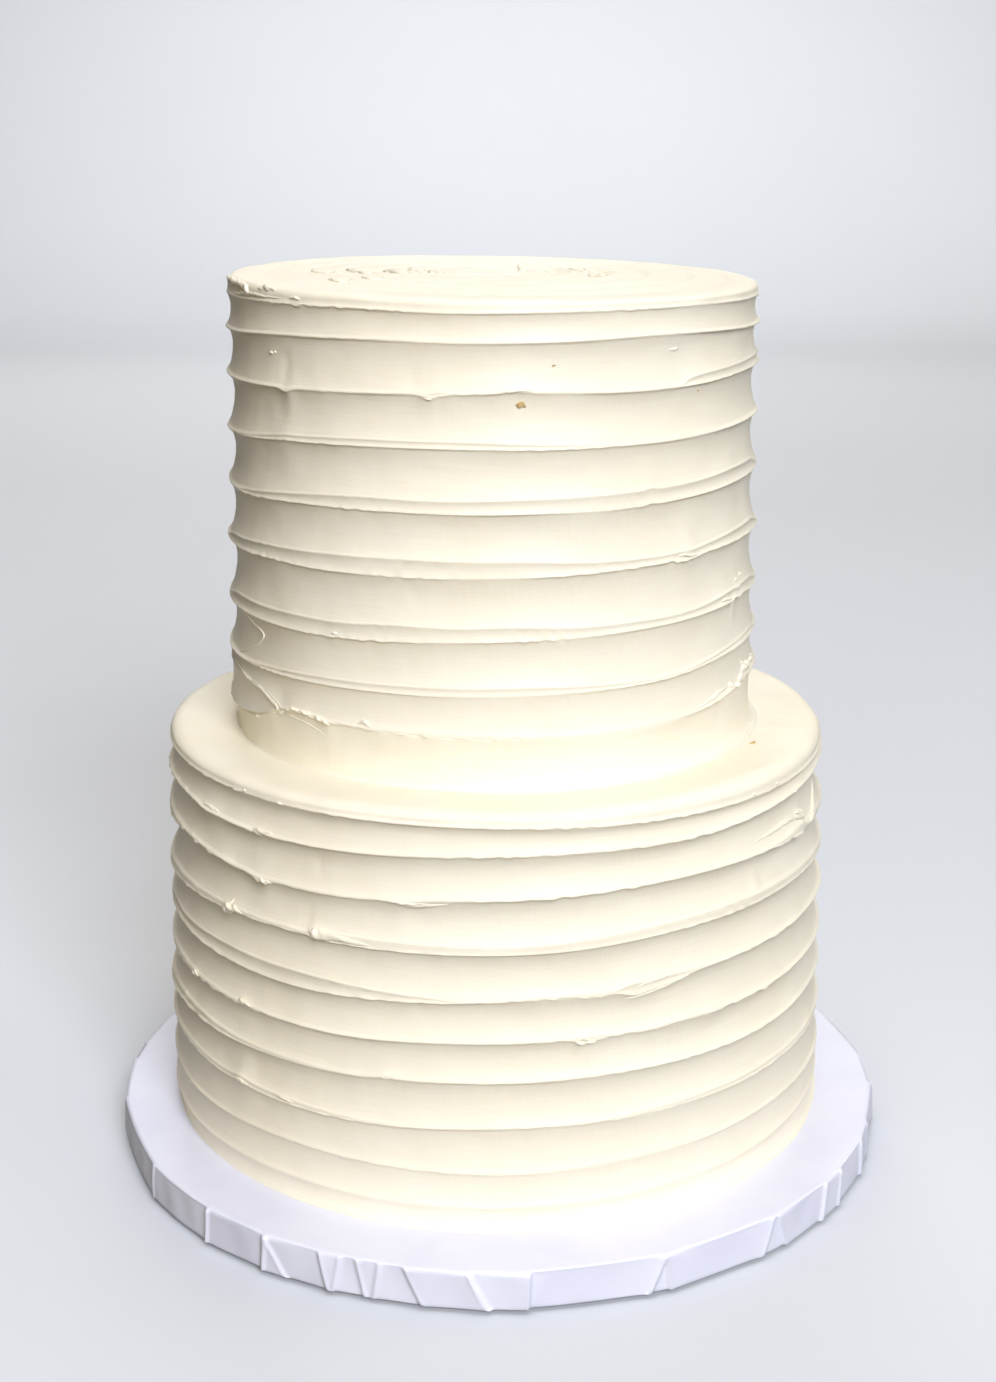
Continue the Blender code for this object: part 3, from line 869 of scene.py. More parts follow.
def top_rows(tier, turn, radius, rim, ring_pitch, ring_depth):
    """Rows of the top from near the middle out to the rim, in mm: a ringed or a plain face,
    and then a shoulder, a quarter of a rounded square."""
    rim_r = radius + rim.proud
    if tier.rings:
        fall = face_rise(turn, 1.0)
        rows = ring_rows(tier, turn, rim_r, ring_pitch, ring_depth)
    else:
        fall = 0.0 * turn
        drift = PLAIN_DRIFT * ripple(turn, tier.seed + 60, 1, 14)
        reach = rim_r - tier.shoulder
        rows = [(reach * share + 0.0 * turn, tier.top + drift * share) for share in PLAIN_ROWS]
    wave = SHOULDER_WAVE * ripple(turn, tier.seed + 70, 3, 30)
    tall = tier.top + fall - rim.upper
    for angle in np.radians(SHOULDER_ANGLES):
        across = math.sin(angle) ** tier.corner
        up = math.cos(angle) ** tier.corner
        height = rim.upper + SHOULDER_FOOT + (tall - SHOULDER_FOOT) * up
        out = rim_r - tier.shoulder * (1.0 - across) + WAVE_OUT * wave
        rows.append((out, height + WAVE_UP * wave * up))
    return rows


def press_dents(tier, turn, radii, heights):
    """Move the skin in or out at the dents: each falls off as a bell with distance."""
    for dent in tier.dents:
        across = off_bearing(turn, dent.bearing)[None, :] / dent.spread
        along = (heights - dent.height) / dent.tall
        radii = radii + dent.proud * np.exp(-(across**2) - along**2)
    return radii


def as_arrays(rows):
    """Radii and heights of rows as two arrays, a line for each row."""
    return np.array([r for r, _ in rows]), np.array([z for _, z in rows])


class Skin(NamedTuple):
    """A tier's surface in mm: bearings of its columns, and its rows' radii and heights from the
    top's middle to the underside. The side begins at the row first_side."""

    turn: np.ndarray
    radii: np.ndarray
    heights: np.ndarray
    first_side: int


def tier_skin(tier, sizes):
    """The whole surface of a tier: top face, shoulder, side with its crests, and foot."""
    turn = tier_turns(TIER_COLUMNS)
    if tier.rings:
        radius, hollow = sizes.top_radius / MM, sizes.top_hollow / MM
    else:
        radius, hollow = sizes.bottom_radius / MM, sizes.bottom_hollow / MM
    rim = rim_course(tier, turn)
    top = top_rows(tier, turn, radius, rim, sizes.ring_pitch / MM, sizes.ring_depth / MM)
    side, edge_r, edge_z = side_rows(tier, turn, radius, hollow, rim)
    radii, heights = as_arrays(top + side + foot_rows(tier, turn, edge_r, edge_z, hollow))
    radii = press_dents(tier, turn, radii, heights)
    return Skin(turn, radii, heights, len(top) - SHOULDER_ROWS_ON_SIDE)


def skin_points(tier, skin):
    """Points of a skin in metres: radius along the bearing from the tier's centre."""
    x = tier.centre[0] + skin.radii * np.sin(skin.turn)
    y = tier.centre[1] - skin.radii * np.cos(skin.turn)
    return np.stack([x, y, skin.heights], axis=-1) * MM


def skin_radius(skin, bearing, height):
    """Radius of the side at one bearing and height: along the nearest column, read off
    between the rows above and below."""
    column = int(np.argmin(np.abs(off_bearing(skin.turn, bearing))))
    z = skin.heights[skin.first_side :, column][::-1]
    r = skin.radii[skin.first_side :, column][::-1]
    return float(np.interp(height, z, r))


def skin_height(skin, x, y):
    """Height of the top face at a place measured from the tier's middle: along the nearest
    column, read off between the rows inside and outside."""
    column = int(np.argmin(np.abs(off_bearing(skin.turn, math.degrees(math.atan2(x, -y))))))
    r = skin.radii[: skin.first_side, column]
    z = skin.heights[: skin.first_side, column]
    return float(np.interp(math.hypot(x, y), r, z))


def turning_faces(rows, columns, first):
    """Faces of a closed turning whose points, from a first number on, are a pole, rows of
    columns and a last pole: quads join each row to the next, and a fan each pole to its row."""
    here = first + 1 + np.arange(columns)
    after = np.roll(here, -1)
    start = np.arange(rows - 1)[:, None] * columns
    below = start + columns
    quads = np.stack([start + here, below + here, below + after, start + after], axis=-1)
    last = (rows - 1) * columns
    first_fan = np.stack([np.full(columns, first), here, after], axis=-1)
    last_pole = np.full(columns, first + 1 + rows * columns)
    last_fan = np.stack([last_pole, last + after, last + here], axis=-1)
    return first_fan.tolist() + quads.reshape(-1, 4).tolist() + last_fan.tolist()


def closed_turnings(name, shells):
    """One smooth mesh of closed shells, each made of rows of points that run once round, and
    of the poles before and after them."""
    vertices, faces, offset = [], [], 0
    for points, (first_pole, last_pole) in shells:
        vertices.append(np.concatenate([[first_pole], points.reshape(-1, 3), [last_pole]]))
        faces += turning_faces(*points.shape[:2], offset)
        offset += len(vertices[-1])
    mesh = bpy.data.meshes.new(name)
    mesh.from_pydata(np.concatenate(vertices).tolist(), [], faces)
    mesh.update()
    mesh.shade_smooth()
    return mesh


def make_piece(name, mesh, material, nodes=()):
    """Put a mesh in the scene as a piece that rides with the cake."""
    mesh.materials.append(material)
    piece = bpy.data.objects.new(name, mesh)
    bpy.context.scene.collection.objects.link(piece)
    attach(piece, "root")
    if nodes:
        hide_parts(*nodes)
    return piece


def make_tier(tier, sizes, material):
    """Ice one tier: its skin closed at the middle of the top and of the underside."""
    points = skin_points(tier, tier_skin(tier, sizes))
    middle = np.array([*tier.centre, 0.0]) * MM
    top_pole = middle + [0.0, 0.0, float(points[0, :, 2].mean())]
    foot_pole = middle + [0.0, 0.0, tier.underside * MM]
    mesh = closed_turnings(tier.node + "_icing", [(points, (top_pole, foot_pole))])
    return make_piece(tier.node + "_icing", mesh, material, (tier.node,))


# Crumbs caught in the top tier's icing: bearing, height, length, thickness, stand-out (mm)
CRUMBS = (
    (5.4, 252.7, 2.2, 1.4, 0.5),
    (6.3, 252.3, 1.0, 0.9, 0.5),
    (12.1, 263.9, 1.2, 0.6, 0.4),
    (46.5, 253.6, 0.6, 0.5, 0.3),
)
# A crumb on the lower tier's top face: x, y, z, length, thickness, height (mm)
LOOSE_CRUMB = (80.8, -37.8, 138.0, 1.5, 1.0, 0.8)
# Lean of the crumbs in degrees, and how lumpy they are: rows and columns of points, waves
# across a crumb with the limits of their numbers, and the height of each
CAUGHT_LEAN = 15.0
LOOSE_LEAN = 20.0
CRUMB_ROWS, CRUMB_COLUMNS = 16, 24
CRUMB_WAVES = 7
CRUMB_SLOWEST, CRUMB_FASTEST = 2.0, 5.5
CRUMB_ROUGH = 0.14


def lumpy_ball(seed):
    """A ball of about unit radius, as rows of points from pole to pole and the two poles: the
    sphere times one plus a few seeded sine waves across it."""
    rng = np.random.default_rng(seed)
    polar = np.linspace(0.0, math.pi, CRUMB_ROWS)[1:-1, None]
    around = np.linspace(0.0, math.tau, CRUMB_COLUMNS, endpoint=False)[None, :]
    level = np.cos(polar) + 0.0 * around
    ball = np.stack([np.sin(polar) * np.cos(around), np.sin(polar) * np.sin(around), level], axis=-1)
    poles = np.array([[0.0, 0.0, 1.0], [0.0, 0.0, -1.0]])
    swell = np.zeros(ball.shape[:2])
    pole_swell = np.zeros(2)
    for _ in range(CRUMB_WAVES):
        direction = rng.normal(size=3)
        direction *= rng.uniform(CRUMB_SLOWEST, CRUMB_FASTEST) / np.linalg.norm(direction)
        phase = rng.uniform(0.0, math.tau)
        swell += np.sin(ball @ direction + phase)
        pole_swell += np.sin(poles @ direction + phase)
    ball = ball * (1.0 + CRUMB_ROUGH * swell[..., None])
    return ball, poles * (1.0 + CRUMB_ROUGH * pole_swell[:, None])


def crumb_shell(seed, size, lean, axes, place):
    """A lumpy ball stretched to length, thickness and stand-out along three axes of its place,
    turned by its lean about the last of them."""
    ball, poles = lumpy_ball(seed)
    along, up, out = axes
    c, s = math.cos(math.radians(lean)), math.sin(math.radians(lean))
    axes = np.array([(c * along + s * up) * size[0], (c * up - s * along) * size[1], out * size[2]])
    return ball @ (0.5 * axes) + place, poles @ (0.5 * axes) + place


def side_axes(bearing):
    """Right along the side, up, and outwards at a bearing."""
    a = math.radians(bearing)
    along = np.array([math.cos(a), math.sin(a), 0.0])
    up = np.array([0.0, 0.0, 1.0])
    out = np.array([math.sin(a), -math.cos(a), 0.0])
    return along, up, out


def crumb_shells(sizes):
    """Shells of the crumbs, each half sunk in the icing it is caught in."""
    skin = tier_skin(TOP, sizes)
    shells = []
    for number, (bearing, height, length, thick, proud) in enumerate(CRUMBS):
        axes = side_axes(bearing)
        reach = skin_radius(skin, bearing, height)
        place = (np.array([*TOP.centre, height]) + axes[-1] * reach) * MM
        size = np.array([length, thick, 2.0 * proud]) * MM
        shells.append(crumb_shell(600 + number, size, CAUGHT_LEAN, axes, place))
    place = np.array(LOOSE_CRUMB[:3]) * MM
    size = np.array(LOOSE_CRUMB[3:]) * MM
    shells.append(crumb_shell(620, size, LOOSE_LEAN, np.eye(3), place))
    return shells


# Raised lines of icing: points for each stretch of a path and round it, the power by which
# their ends taper, and their unevenness: waves, and limits of each wave's cycles a mm along
# and of its cycles round, with the share of a bead's roughness that each takes
BEAD_STEPS = 7
BEAD_SIDES = 14
TAPER_POWER = 0.6
BEAD_WAVES = 5
BEAD_SLOWEST, BEAD_FASTEST = 0.4, 2.2
BEAD_FEWEST_ROUND, BEAD_MOST_ROUND = 1, 3
BEAD_WAVE_SHARE = 0.6


def smooth_path(corners):
    """Points along a smooth line through corners: the Catmull-Rom cubic of each four in a row,
    with the line carried straight on beyond its first and last corners."""
    p = np.array(corners, dtype=float)
    p = np.concatenate([2.0 * p[:1] - p[1:2], p, 2.0 * p[-1:] - p[-2:-1]])
    t = np.linspace(0.0, 1.0, BEAD_STEPS, endpoint=False)[None, :, None]
    p0, p1, p2, p3 = (p[i : len(p) - 3 + i][:, None, :] for i in range(4))
    bend = (2.0 * p0 - 5.0 * p1 + 4.0 * p2 - p3) * t**2
    line = 0.5 * (2.0 * p1 + (p2 - p0) * t + bend + (3.0 * (p1 - p2) + p3 - p0) * t**3)
    return np.concatenate([line.reshape(-1, p.shape[1]), p[-2:-1]])


def bead_shell(line, out, bead, seed):
    """A raised line's surface: an ellipse carried along a line on the skin, whose short axis
    points out of it, tapered at both ends by a root of the distance from each, with seeded
    swelling along and round it."""
    rng = np.random.default_rng(seed)
    along = np.gradient(line, axis=0)
    along /= np.linalg.norm(along, axis=1)[:, None]
    out = out - along * (out * along).sum(1)[:, None]
    across = np.cross(along, out)
    share = np.linspace(0.0, 1.0, len(line))
    first, last = bead.tapers
    size = np.clip(share / first, 0.0, 1.0) ** TAPER_POWER
    size = size * np.clip((1.0 - share) / last, 0.0, 1.0) ** TAPER_POWER
    length = np.concatenate([[0.0], np.cumsum(np.linalg.norm(np.diff(line, axis=0), axis=1))])
    around = np.linspace(0.0, math.tau, BEAD_SIDES, endpoint=False)
    swell = np.ones((len(line), BEAD_SIDES))
    for _ in range(BEAD_WAVES):
        waves = rng.uniform(BEAD_SLOWEST, BEAD_FASTEST)
        turns = rng.integers(BEAD_FEWEST_ROUND, BEAD_MOST_ROUND + 1)
        phase = waves * length[:, None] + turns * around[None, :] + rng.uniform(0.0, math.tau)
        swell += BEAD_WAVE_SHARE * bead.rough * np.sin(phase)
    ring = across[:, None, :] * (0.5 * bead.thick * np.cos(around))[None, :, None]
    ring = ring + out[:, None, :] * (bead.proud * np.sin(around))[None, :, None]
    points = line[:, None, :] + ring * (swell * size[:, None])[..., None]
    return points[1:-1] * MM, line[[0, -1]] * MM


def torn_bits(tier, sizes):
    """Shells of one tier's raised lines and torn bits, each half sunk in its skin: those on
    the side along bearings and heights, and those on the top face along x and y."""
    skin = tier_skin(tier, sizes)
    centre = np.array([*tier.centre, 0.0])
    shells = []
    for number, bead in enumerate(tier.beads):
        path = smooth_path(bead.path)
        bearing, height = np.radians(path[:, 0]), path[:, 1]
        radius = np.array([skin_radius(skin, b, h) for b, h in path])
        out = np.stack([np.sin(bearing), -np.cos(bearing), 0.0 * bearing], axis=-1)
        line = centre + out * radius[:, None] + height[:, None] * np.array([0.0, 0.0, 1.0])
        shells.append(bead_shell(line, out, bead, tier.seed + number))
    for number, bead in enumerate(tier.face_beads):
        path = smooth_path(bead.path)
        height = np.array([skin_height(skin, x, y) for x, y in path])
        line = centre + np.stack([path[:, 0], path[:, 1], height], axis=-1)
        out = np.tile([0.0, 0.0, 1.0], (len(path), 1))
        shells.append(bead_shell(line, out, bead, tier.seed + 500 + number))
    return shells


class Fold(NamedTuple):
    """A fold of the paper at the board's edge: bearing at mid height and lean in degrees, its
    ridge and step in shares of the fold height, and how far the step fades, in degrees."""

    bearing: float
    lean: float
    ridge: float
    step: float
    fade: float


FRONT_FOLDS = (
    Fold(-80.0, 0.0, 0.6, 0.3, 3.0),
    Fold(-58.5, 0.0, 0.8, 0.4, 4.0),
    Fold(-43.8, 0.3, 1.3, 0.8, 6.0),
    Fold(-33.0, 0.4, 1.3, 0.9, 5.0),
    Fold(-31.0, -4.0, 0.3, -0.5, 3.0),
    Fold(-23.6, -1.6, 0.5, 0.6, 2.0),
    Fold(-21.6, 1.0, 0.6, -0.5, 2.0),
    Fold(-18.4, -1.4, 0.5, 0.5, 1.6),
    Fold(-16.2, 0.8, 0.6, 0.4, 1.4),
    Fold(-11.2, -2.8, 0.4, 0.8, 4.0),
    Fold(-2.6, -3.0, 0.6, -0.9, 3.5),
    Fold(4.0, 0.3, 0.2, -1.4, 6.0),
    Fold(21.2, 2.6, 0.7, -0.8, 1.6),
    Fold(22.6, -0.6, 0.4, 1.0, 4.0),
    Fold(39.4, 2.4, 0.5, -0.8, 1.8),
    Fold(41.8, -1.8, 0.5, 0.9, 4.0),
    Fold(51.8, 1.4, 0.9, 0.6, 2.5),
    Fold(56.8, 1.0, 1.1, -0.7, 4.0),
    Fold(66.0, 0.4, 0.9, 0.6, 3.0),
    Fold(72.0, 0.6, 0.8, -0.5, 3.0),
)
# Bearings between which the folds behind lie
BACK_START, BACK_END = 84.0, 272.0
# A fold's ridge: its height in shares and its half width in degrees, and its step: half width
# in degrees and the power that its fading follows
RIDGE_HEIGHT, RIDGE_WIDTH = 0.8, 0.38
STEP_WIDTH, STEP_FADE_POWER = 0.16, 1.3
# The straight stretches of the edge: the least step that ends one, half of the widest in
# degrees, and how much of the way to the straight line is taken
MAIN_STEP = 0.55
WIDEST_HALF = 10.0
FACET_SHARE = 0.45
# The board's top face in mm: radii of its rows, then their distances in from the edge, and
# its wave, with the share of it there
FACE_RADII = (60.0, 104.0, 114.0, 119.0)
FACE_INSETS = (5.5, 3.6, 2.6)
FACE_WAVE = 0.05
FACE_WAVE_SHARE = 0.4
# Its edge: radius of the upper rounding and its rows, the share of the wall's height that the
# folds lean over there, what the folds stand on in shares of their height, the wall's levels
# and bulge in mm, and the underside as distance in from the wall and height above the floor
EDGE_ROUND = 1.3
EDGE_ANGLES = (15.0, 32.0, 50.0, 68.0, 84.0)
EDGE_LEVELS = 0.16
FOLD_BASE = 1.6
WALL_TOP, WALL_FOOT, WALL_ROWS = 0.84, 0.12, 12
WALL_BULGE = 0.12
UNDER_EDGE = ((0.1, 1.2), (0.4, 1.05), (3.0, 1.0), (5.0, 0.5), (7.0, 0.0), (60.0, 0.0))
FOLDS_END = 3.0


def all_folds():
    """The folds in front, then more of the same kinds at seeded places round the back."""
    rng = np.random.default_rng(5)
    folds = list(FRONT_FOLDS)
    bearing = BACK_START
    while bearing < BACK_END:
        lean = rng.uniform(-3.0, 3.0)
        ridge = rng.uniform(0.4, 1.2)
        step = rng.choice([-1.0, 1.0]) * rng.uniform(0.4, 1.1)
        folds.append(Fold(bearing, lean, ridge, step, rng.uniform(1.8, 6.0)))
        bearing += rng.choice([rng.uniform(2.5, 6.0), rng.uniform(9.0, 17.0)])
    return folds


def fold_relief(turn, level):
    """Relief of the paper's folds, in shares of the fold height, at a level from the bottom (0)
    to the top (1) of the board's edge: a narrow ridge at each fold, and a step that fades."""
    relief = np.zeros_like(turn)
    for fold in all_folds():
        off = off_bearing(turn, fold.bearing + fold.lean * (level - 0.5))
        relief += RIDGE_HEIGHT * fold.ridge * np.exp(-((off / RIDGE_WIDTH) ** 2))
        side = np.sign(fold.step)
        beyond = np.maximum(off * side, 0.0)
        edge = 0.5 + 0.5 * np.tanh(off * side / STEP_WIDTH)
        relief += abs(fold.step) * edge * np.exp(-((beyond / fold.fade) ** STEP_FADE_POWER))
    return relief - FOLD_BASE


def facet_sag(turn):
    """How far the edge lies inside its circle between folds, in mm: a share of the way to the
    straight line from each main fold to the next."""
    corners = np.sort([fold.bearing for fold in all_folds() if abs(fold.step) > MAIN_STEP])
    corners = np.concatenate([[corners[-1] - 360.0], corners, [corners[0] + 360.0]])
    bearing = np.degrees(turn)
    bearing = np.where(bearing < corners[1] - 360.0, bearing + 360.0, bearing)
    slot = np.clip(np.searchsorted(corners, bearing) - 1, 0, len(corners) - 2)
    half = np.radians(np.minimum(0.5 * (corners[slot + 1] - corners[slot]), WIDEST_HALF))
    middle = 0.5 * (corners[slot + 1] + corners[slot])
    off = np.radians(np.clip(bearing - middle, -WIDEST_HALF, WIDEST_HALF))
    chord = BOARD_RADIUS / MM * (1.0 - np.cos(half) / np.cos(np.minimum(np.abs(off), half)))
    return FACET_SHARE * chord


def board_rows(turn, fold):
    """Rows of the board from the middle of its top to its underside, as radii and heights in
    mm: a flat face, a rounded edge, a wall with the paper's folds, and a rounded lower edge."""
    thick = BOARD_TOP / MM
    outer = BOARD_RADIUS / MM - facet_sag(turn)
    wave = FACE_WAVE * ripple(turn, 401, 5, 60)
    rows = [(radius + 0.0 * turn, thick + 0.0 * turn) for radius in FACE_RADII]
    rows += [(outer - inset, thick + FACE_WAVE_SHARE * wave) for inset in FACE_INSETS]
    for angle in np.radians(EDGE_ANGLES):
        level = 1.0 - EDGE_LEVELS * (1.0 - math.cos(angle))
        relief = fold * fold_relief(turn, level) * math.sin(angle)
        inset = EDGE_ROUND * (1.0 - math.sin(angle))
        drop = EDGE_ROUND * (1.0 - math.cos(angle))
        rows.append((outer - inset + relief, thick - drop + wave))
    for level in np.linspace(WALL_TOP, WALL_FOOT, WALL_ROWS):
        bulge = WALL_BULGE * math.sin(math.pi * level) * ripple(turn, 407, 12, 70)
        rows.append((outer + fold * fold_relief(turn, level) + bulge, thick * level + 0.0 * turn))
    for inset, height in UNDER_EDGE:
        relief = fold * fold_relief(turn, 0.0) if inset < FOLDS_END else 0.0 * turn
        rows.append((outer - inset + relief, height + 0.0 * turn))
    return as_arrays(rows)


def make_board(sizes, material):
    """Wrap the board: its rows closed at the middle of both faces, kept within its solid."""
    turn = tier_turns(BOARD_COLUMNS)
    radii, heights = board_rows(turn, sizes.fold_height / MM)
    radii = np.minimum(radii, BOARD_RADIUS / MM)
    points = np.stack([radii * np.sin(turn), -radii * np.cos(turn), heights], axis=-1) * MM
    points[..., 2] = np.clip(points[..., 2], 0.0, BOARD_TOP)
    poles = ((0.0, 0.0, BOARD_TOP), (0.0, 0.0, 0.0))
    mesh = closed_turnings("paper_board", [(points, poles)])
    return make_piece("paper_board", mesh, material, ("cake_board",))


def new_group(name, inputs, outputs):
    """An empty shader node group with named sockets, and its input and output nodes."""
    group = bpy.data.node_groups.new(name, "ShaderNodeTree")
    for label, kind, value in inputs:
        socket = group.interface.new_socket(label, in_out="INPUT", socket_type=kind)
        socket.default_value = value
    for label, kind in outputs:
        group.interface.new_socket(label, in_out="OUTPUT", socket_type=kind)
    return group, group.nodes.new("NodeGroupInput"), group.nodes.new("NodeGroupOutput")


def feed(tree, socket, value):
    """Give a socket a value: a link where it is another socket, else a number or a colour."""
    if isinstance(value, bpy.types.NodeSocket):
        tree.links.new(value, socket)
    else:
        socket.default_value = value


def add_noise(tree, scale, detail, vector):
    """A noise texture on the given coordinates."""
    noise = tree.nodes.new("ShaderNodeTexNoise")
    noise.inputs["Scale"].default_value = scale
    noise.inputs["Detail"].default_value = detail
    tree.links.new(vector, noise.inputs["Vector"])
    return noise.outputs["Fac"]


def add_stretch(tree, vector, scale):
    """Coordinates times a scale along each axis."""
    mapping = tree.nodes.new("ShaderNodeMapping")
    mapping.inputs["Scale"].default_value = scale
    tree.links.new(vector, mapping.inputs["Vector"])
    return mapping.outputs["Vector"]


def add_math(tree, operation, first, second):
    """A math node on two values, each a socket or a number."""
    node = tree.nodes.new("ShaderNodeMath")
    node.operation = operation
    feed(tree, node.inputs[0], first)
    feed(tree, node.inputs[1], second)
    return node.outputs["Value"]


def weighted_sum(tree, *parts):
    """The sum of values, each times its own weight."""
    total = None
    for value, weight in parts:
        product = add_math(tree, "MULTIPLY", value, weight)
        total = product if total is None else add_math(tree, "ADD", total, product)
    return total


def add_range(tree, value, low, high, new_low, new_high):
    """A value carried from one range to another and kept inside it."""
    node = tree.nodes.new("ShaderNodeMapRange")
    for label, given in (
        ("Value", value),
        ("From Min", low),
        ("From Max", high),
        ("To Min", new_low),
        ("To Max", new_high),
    ):
        feed(tree, node.inputs[label], given)
    return node.outputs["Result"]


def add_mix(tree, factor, first, second):
    """A mix of two colours by a factor, each a socket or a value."""
    mix = tree.nodes.new("ShaderNodeMix")
    mix.data_type = "RGBA"
    for label, given in (("Factor", factor), ("A", first), ("B", second)):
        feed(tree, mix.inputs[label], given)
    return mix.outputs["Result"]


# Buttercream: scales of its noises in cycles a metre, its stretches level and upright, and
# the weights of its streaks and clouds in the colour and of every noise in the height
STREAK_SCALE, FINE_STREAK_SCALE = 70.0, 210.0
CLOUD_SCALE, SWELL_SCALE = 22.0, 80.0
DRAG_SCALE, PORE_SCALE = 520.0, 900.0
LEVEL_STRETCH = (1.0, 1.0, 9.0)
UPRIGHT_STRETCH = (1.0, 1.0, 0.1)
STREAK_SHADE, CLOUD_SHADE = 0.35, 0.65
STREAK_RISE, FINE_STREAK_RISE, SWELL_RISE, DRAG_RISE, PORE_RISE = 0.6, 0.25, 4.0, 0.5, 0.10
GLOSS_SWING = 0.06


def spatula_film():
    """Node group for buttercream: streaks drawn out level by the spatula, slow swells, faint
    upright drag marks, fine pores and slow clouding. It gives a colour, a roughness and a
    height."""
    group, source, sink = new_group(
        "spatula_film",
        (
            ("Light", "NodeSocketColor", (1.0, 1.0, 1.0, 1.0)),
            ("Deep", "NodeSocketColor", (0.8, 0.8, 0.8, 1.0)),
            ("Roughness", "NodeSocketFloat", 0.5),
            ("Vector", "NodeSocketVector", (0.0, 0.0, 0.0)),
        ),
        (
            ("Colour", "NodeSocketColor"),
            ("Roughness", "NodeSocketFloat"),
            ("Height", "NodeSocketFloat"),
        ),
    )
    given, result = source.outputs, sink.inputs
    level = add_stretch(group, given["Vector"], LEVEL_STRETCH)
    upright = add_stretch(group, given["Vector"], UPRIGHT_STRETCH)
    streaks = add_noise(group, STREAK_SCALE, 3.0, level)
    fine_streaks = add_noise(group, FINE_STREAK_SCALE, 2.0, level)
    clouds = add_noise(group, CLOUD_SCALE, 2.0, given["Vector"])
    swells = add_noise(group, SWELL_SCALE, 1.0, given["Vector"])
    drags = add_noise(group, DRAG_SCALE, 2.0, upright)
    pores = add_noise(group, PORE_SCALE, 1.0, given["Vector"])
    shade = weighted_sum(group, (streaks, STREAK_SHADE), (clouds, CLOUD_SHADE))
    depth = add_range(group, shade, 0.35, 0.65, 0.0, 1.0)
    feed(group, result["Colour"], add_mix(group, depth, given["Light"], given["Deep"]))
    gloss = add_range(group, fine_streaks, 0.3, 0.7, -GLOSS_SWING, GLOSS_SWING)
    feed(group, result["Roughness"], add_math(group, "ADD", given["Roughness"], gloss))
    height = weighted_sum(
        group,
        (streaks, STREAK_RISE),
        (fine_streaks, FINE_STREAK_RISE),
        (swells, SWELL_RISE),
        (drags, DRAG_RISE),
        (pores, PORE_RISE),
    )
    feed(group, result["Height"], height)
    return group


def principled(name):
    """A new material: itself, its node tree, its Principled shader's inputs, and the
    coordinates of the object that wears it."""
    material = bpy.data.materials.new(name)
    material.use_nodes = True
    tree = material.node_tree
    place = tree.nodes.new("ShaderNodeTexCoord").outputs["Object"]
    return material, tree, tree.nodes["Principled BSDF"].inputs, place


def add_bump(tree, height, strength, distance):
    """A normal from a height."""
    bump = tree.nodes.new("ShaderNodeBump")
    bump.inputs["Strength"].default_value = strength
    bump.inputs["Distance"].default_value = distance
    tree.links.new(height, bump.inputs["Height"])
    return bump.outputs["Normal"]


def set_shader(tree, shader, settings):
    """Feed each named input of a shader."""
    for label, value in settings.items():
        feed(tree, shader[label], value)


def cream_material(colours):
    """Ivory buttercream: satin, a little translucent, with spatula streaks. It is made once."""
    found = bpy.data.materials.get("ivory_buttercream")
    if found:
        return found
    material, tree, shader, place = principled("ivory_buttercream")
    film = tree.nodes.new("ShaderNodeGroup")
    film.node_tree = spatula_film()
    feed(tree, film.inputs["Light"], colours.cream_light)
    feed(tree, film.inputs["Deep"], colours.cream_deep)
    feed(tree, film.inputs["Roughness"], colours.cream_roughness)
    feed(tree, film.inputs["Vector"], place)
    set_shader(
        tree,
        shader,
        {
            "Base Color": film.outputs["Colour"],
            "Roughness": film.outputs["Roughness"],
            "Normal": add_bump(tree, film.outputs["Height"], 0.22, 0.0006),
            "Specular IOR Level": 0.25,
            "Subsurface Weight": 0.12,
            "Subsurface Radius": (1.0, 0.7, 0.45),
            "Subsurface Scale": 0.0015,
        },
    )
    return material


def paper_material(colours):
    """White paper wrap: cool, with a slight sheen and fine creases."""
    material, tree, shader, place = principled("white_paper_wrap")
    cloud = add_noise(tree, 34.0, 3.0, place)
    grain = add_noise(tree, 700.0, 2.0, place)
    wear = add_range(tree, cloud, 0.40, 0.70, 0.0, 1.0)
    height = weighted_sum(tree, (cloud, 1.0), (grain, 0.06))
    set_shader(
        tree,
        shader,
        {
            "Base Color": add_mix(tree, wear, colours.paper_white, colours.paper_shade),
            "Roughness": add_range(tree, cloud, 0.3, 0.7, 0.34, 0.46),
            "Normal": add_bump(tree, height, 0.3, 0.0008),
            "Specular IOR Level": 0.5,
        },
    )
    return material


CRUMB_LIGHT = (0.62, 0.47, 0.22, 1.0)


def crumb_material(colours):
    """Golden sponge crumb, mottled."""
    material, tree, shader, place = principled("sponge_crumb")
    mottle = add_noise(tree, 1500.0, 2.0, place)
    share = add_range(tree, mottle, 0.35, 0.65, 0.0, 1.0)
    set_shader(
        tree,
        shader,
        {
            "Base Color": add_mix(tree, share, colours.crumb_brown, CRUMB_LIGHT),
            "Roughness": 0.8,
            "Normal": add_bump(tree, mottle, 0.6, 0.0003),
        },
    )
    return material


# The sweep in metres: where its floor begins and bends up, the bend's radius, its height and
# half its width, and how much darker its clouding gets
SWEEP_FRONT, SWEEP_DEPTH = -6.0, 2.4
SWEEP_BEND = 0.9
SWEEP_HEIGHT = 3.4
SWEEP_HALF_WIDTH = 5.0
SWEEP_SHADE = 0.96


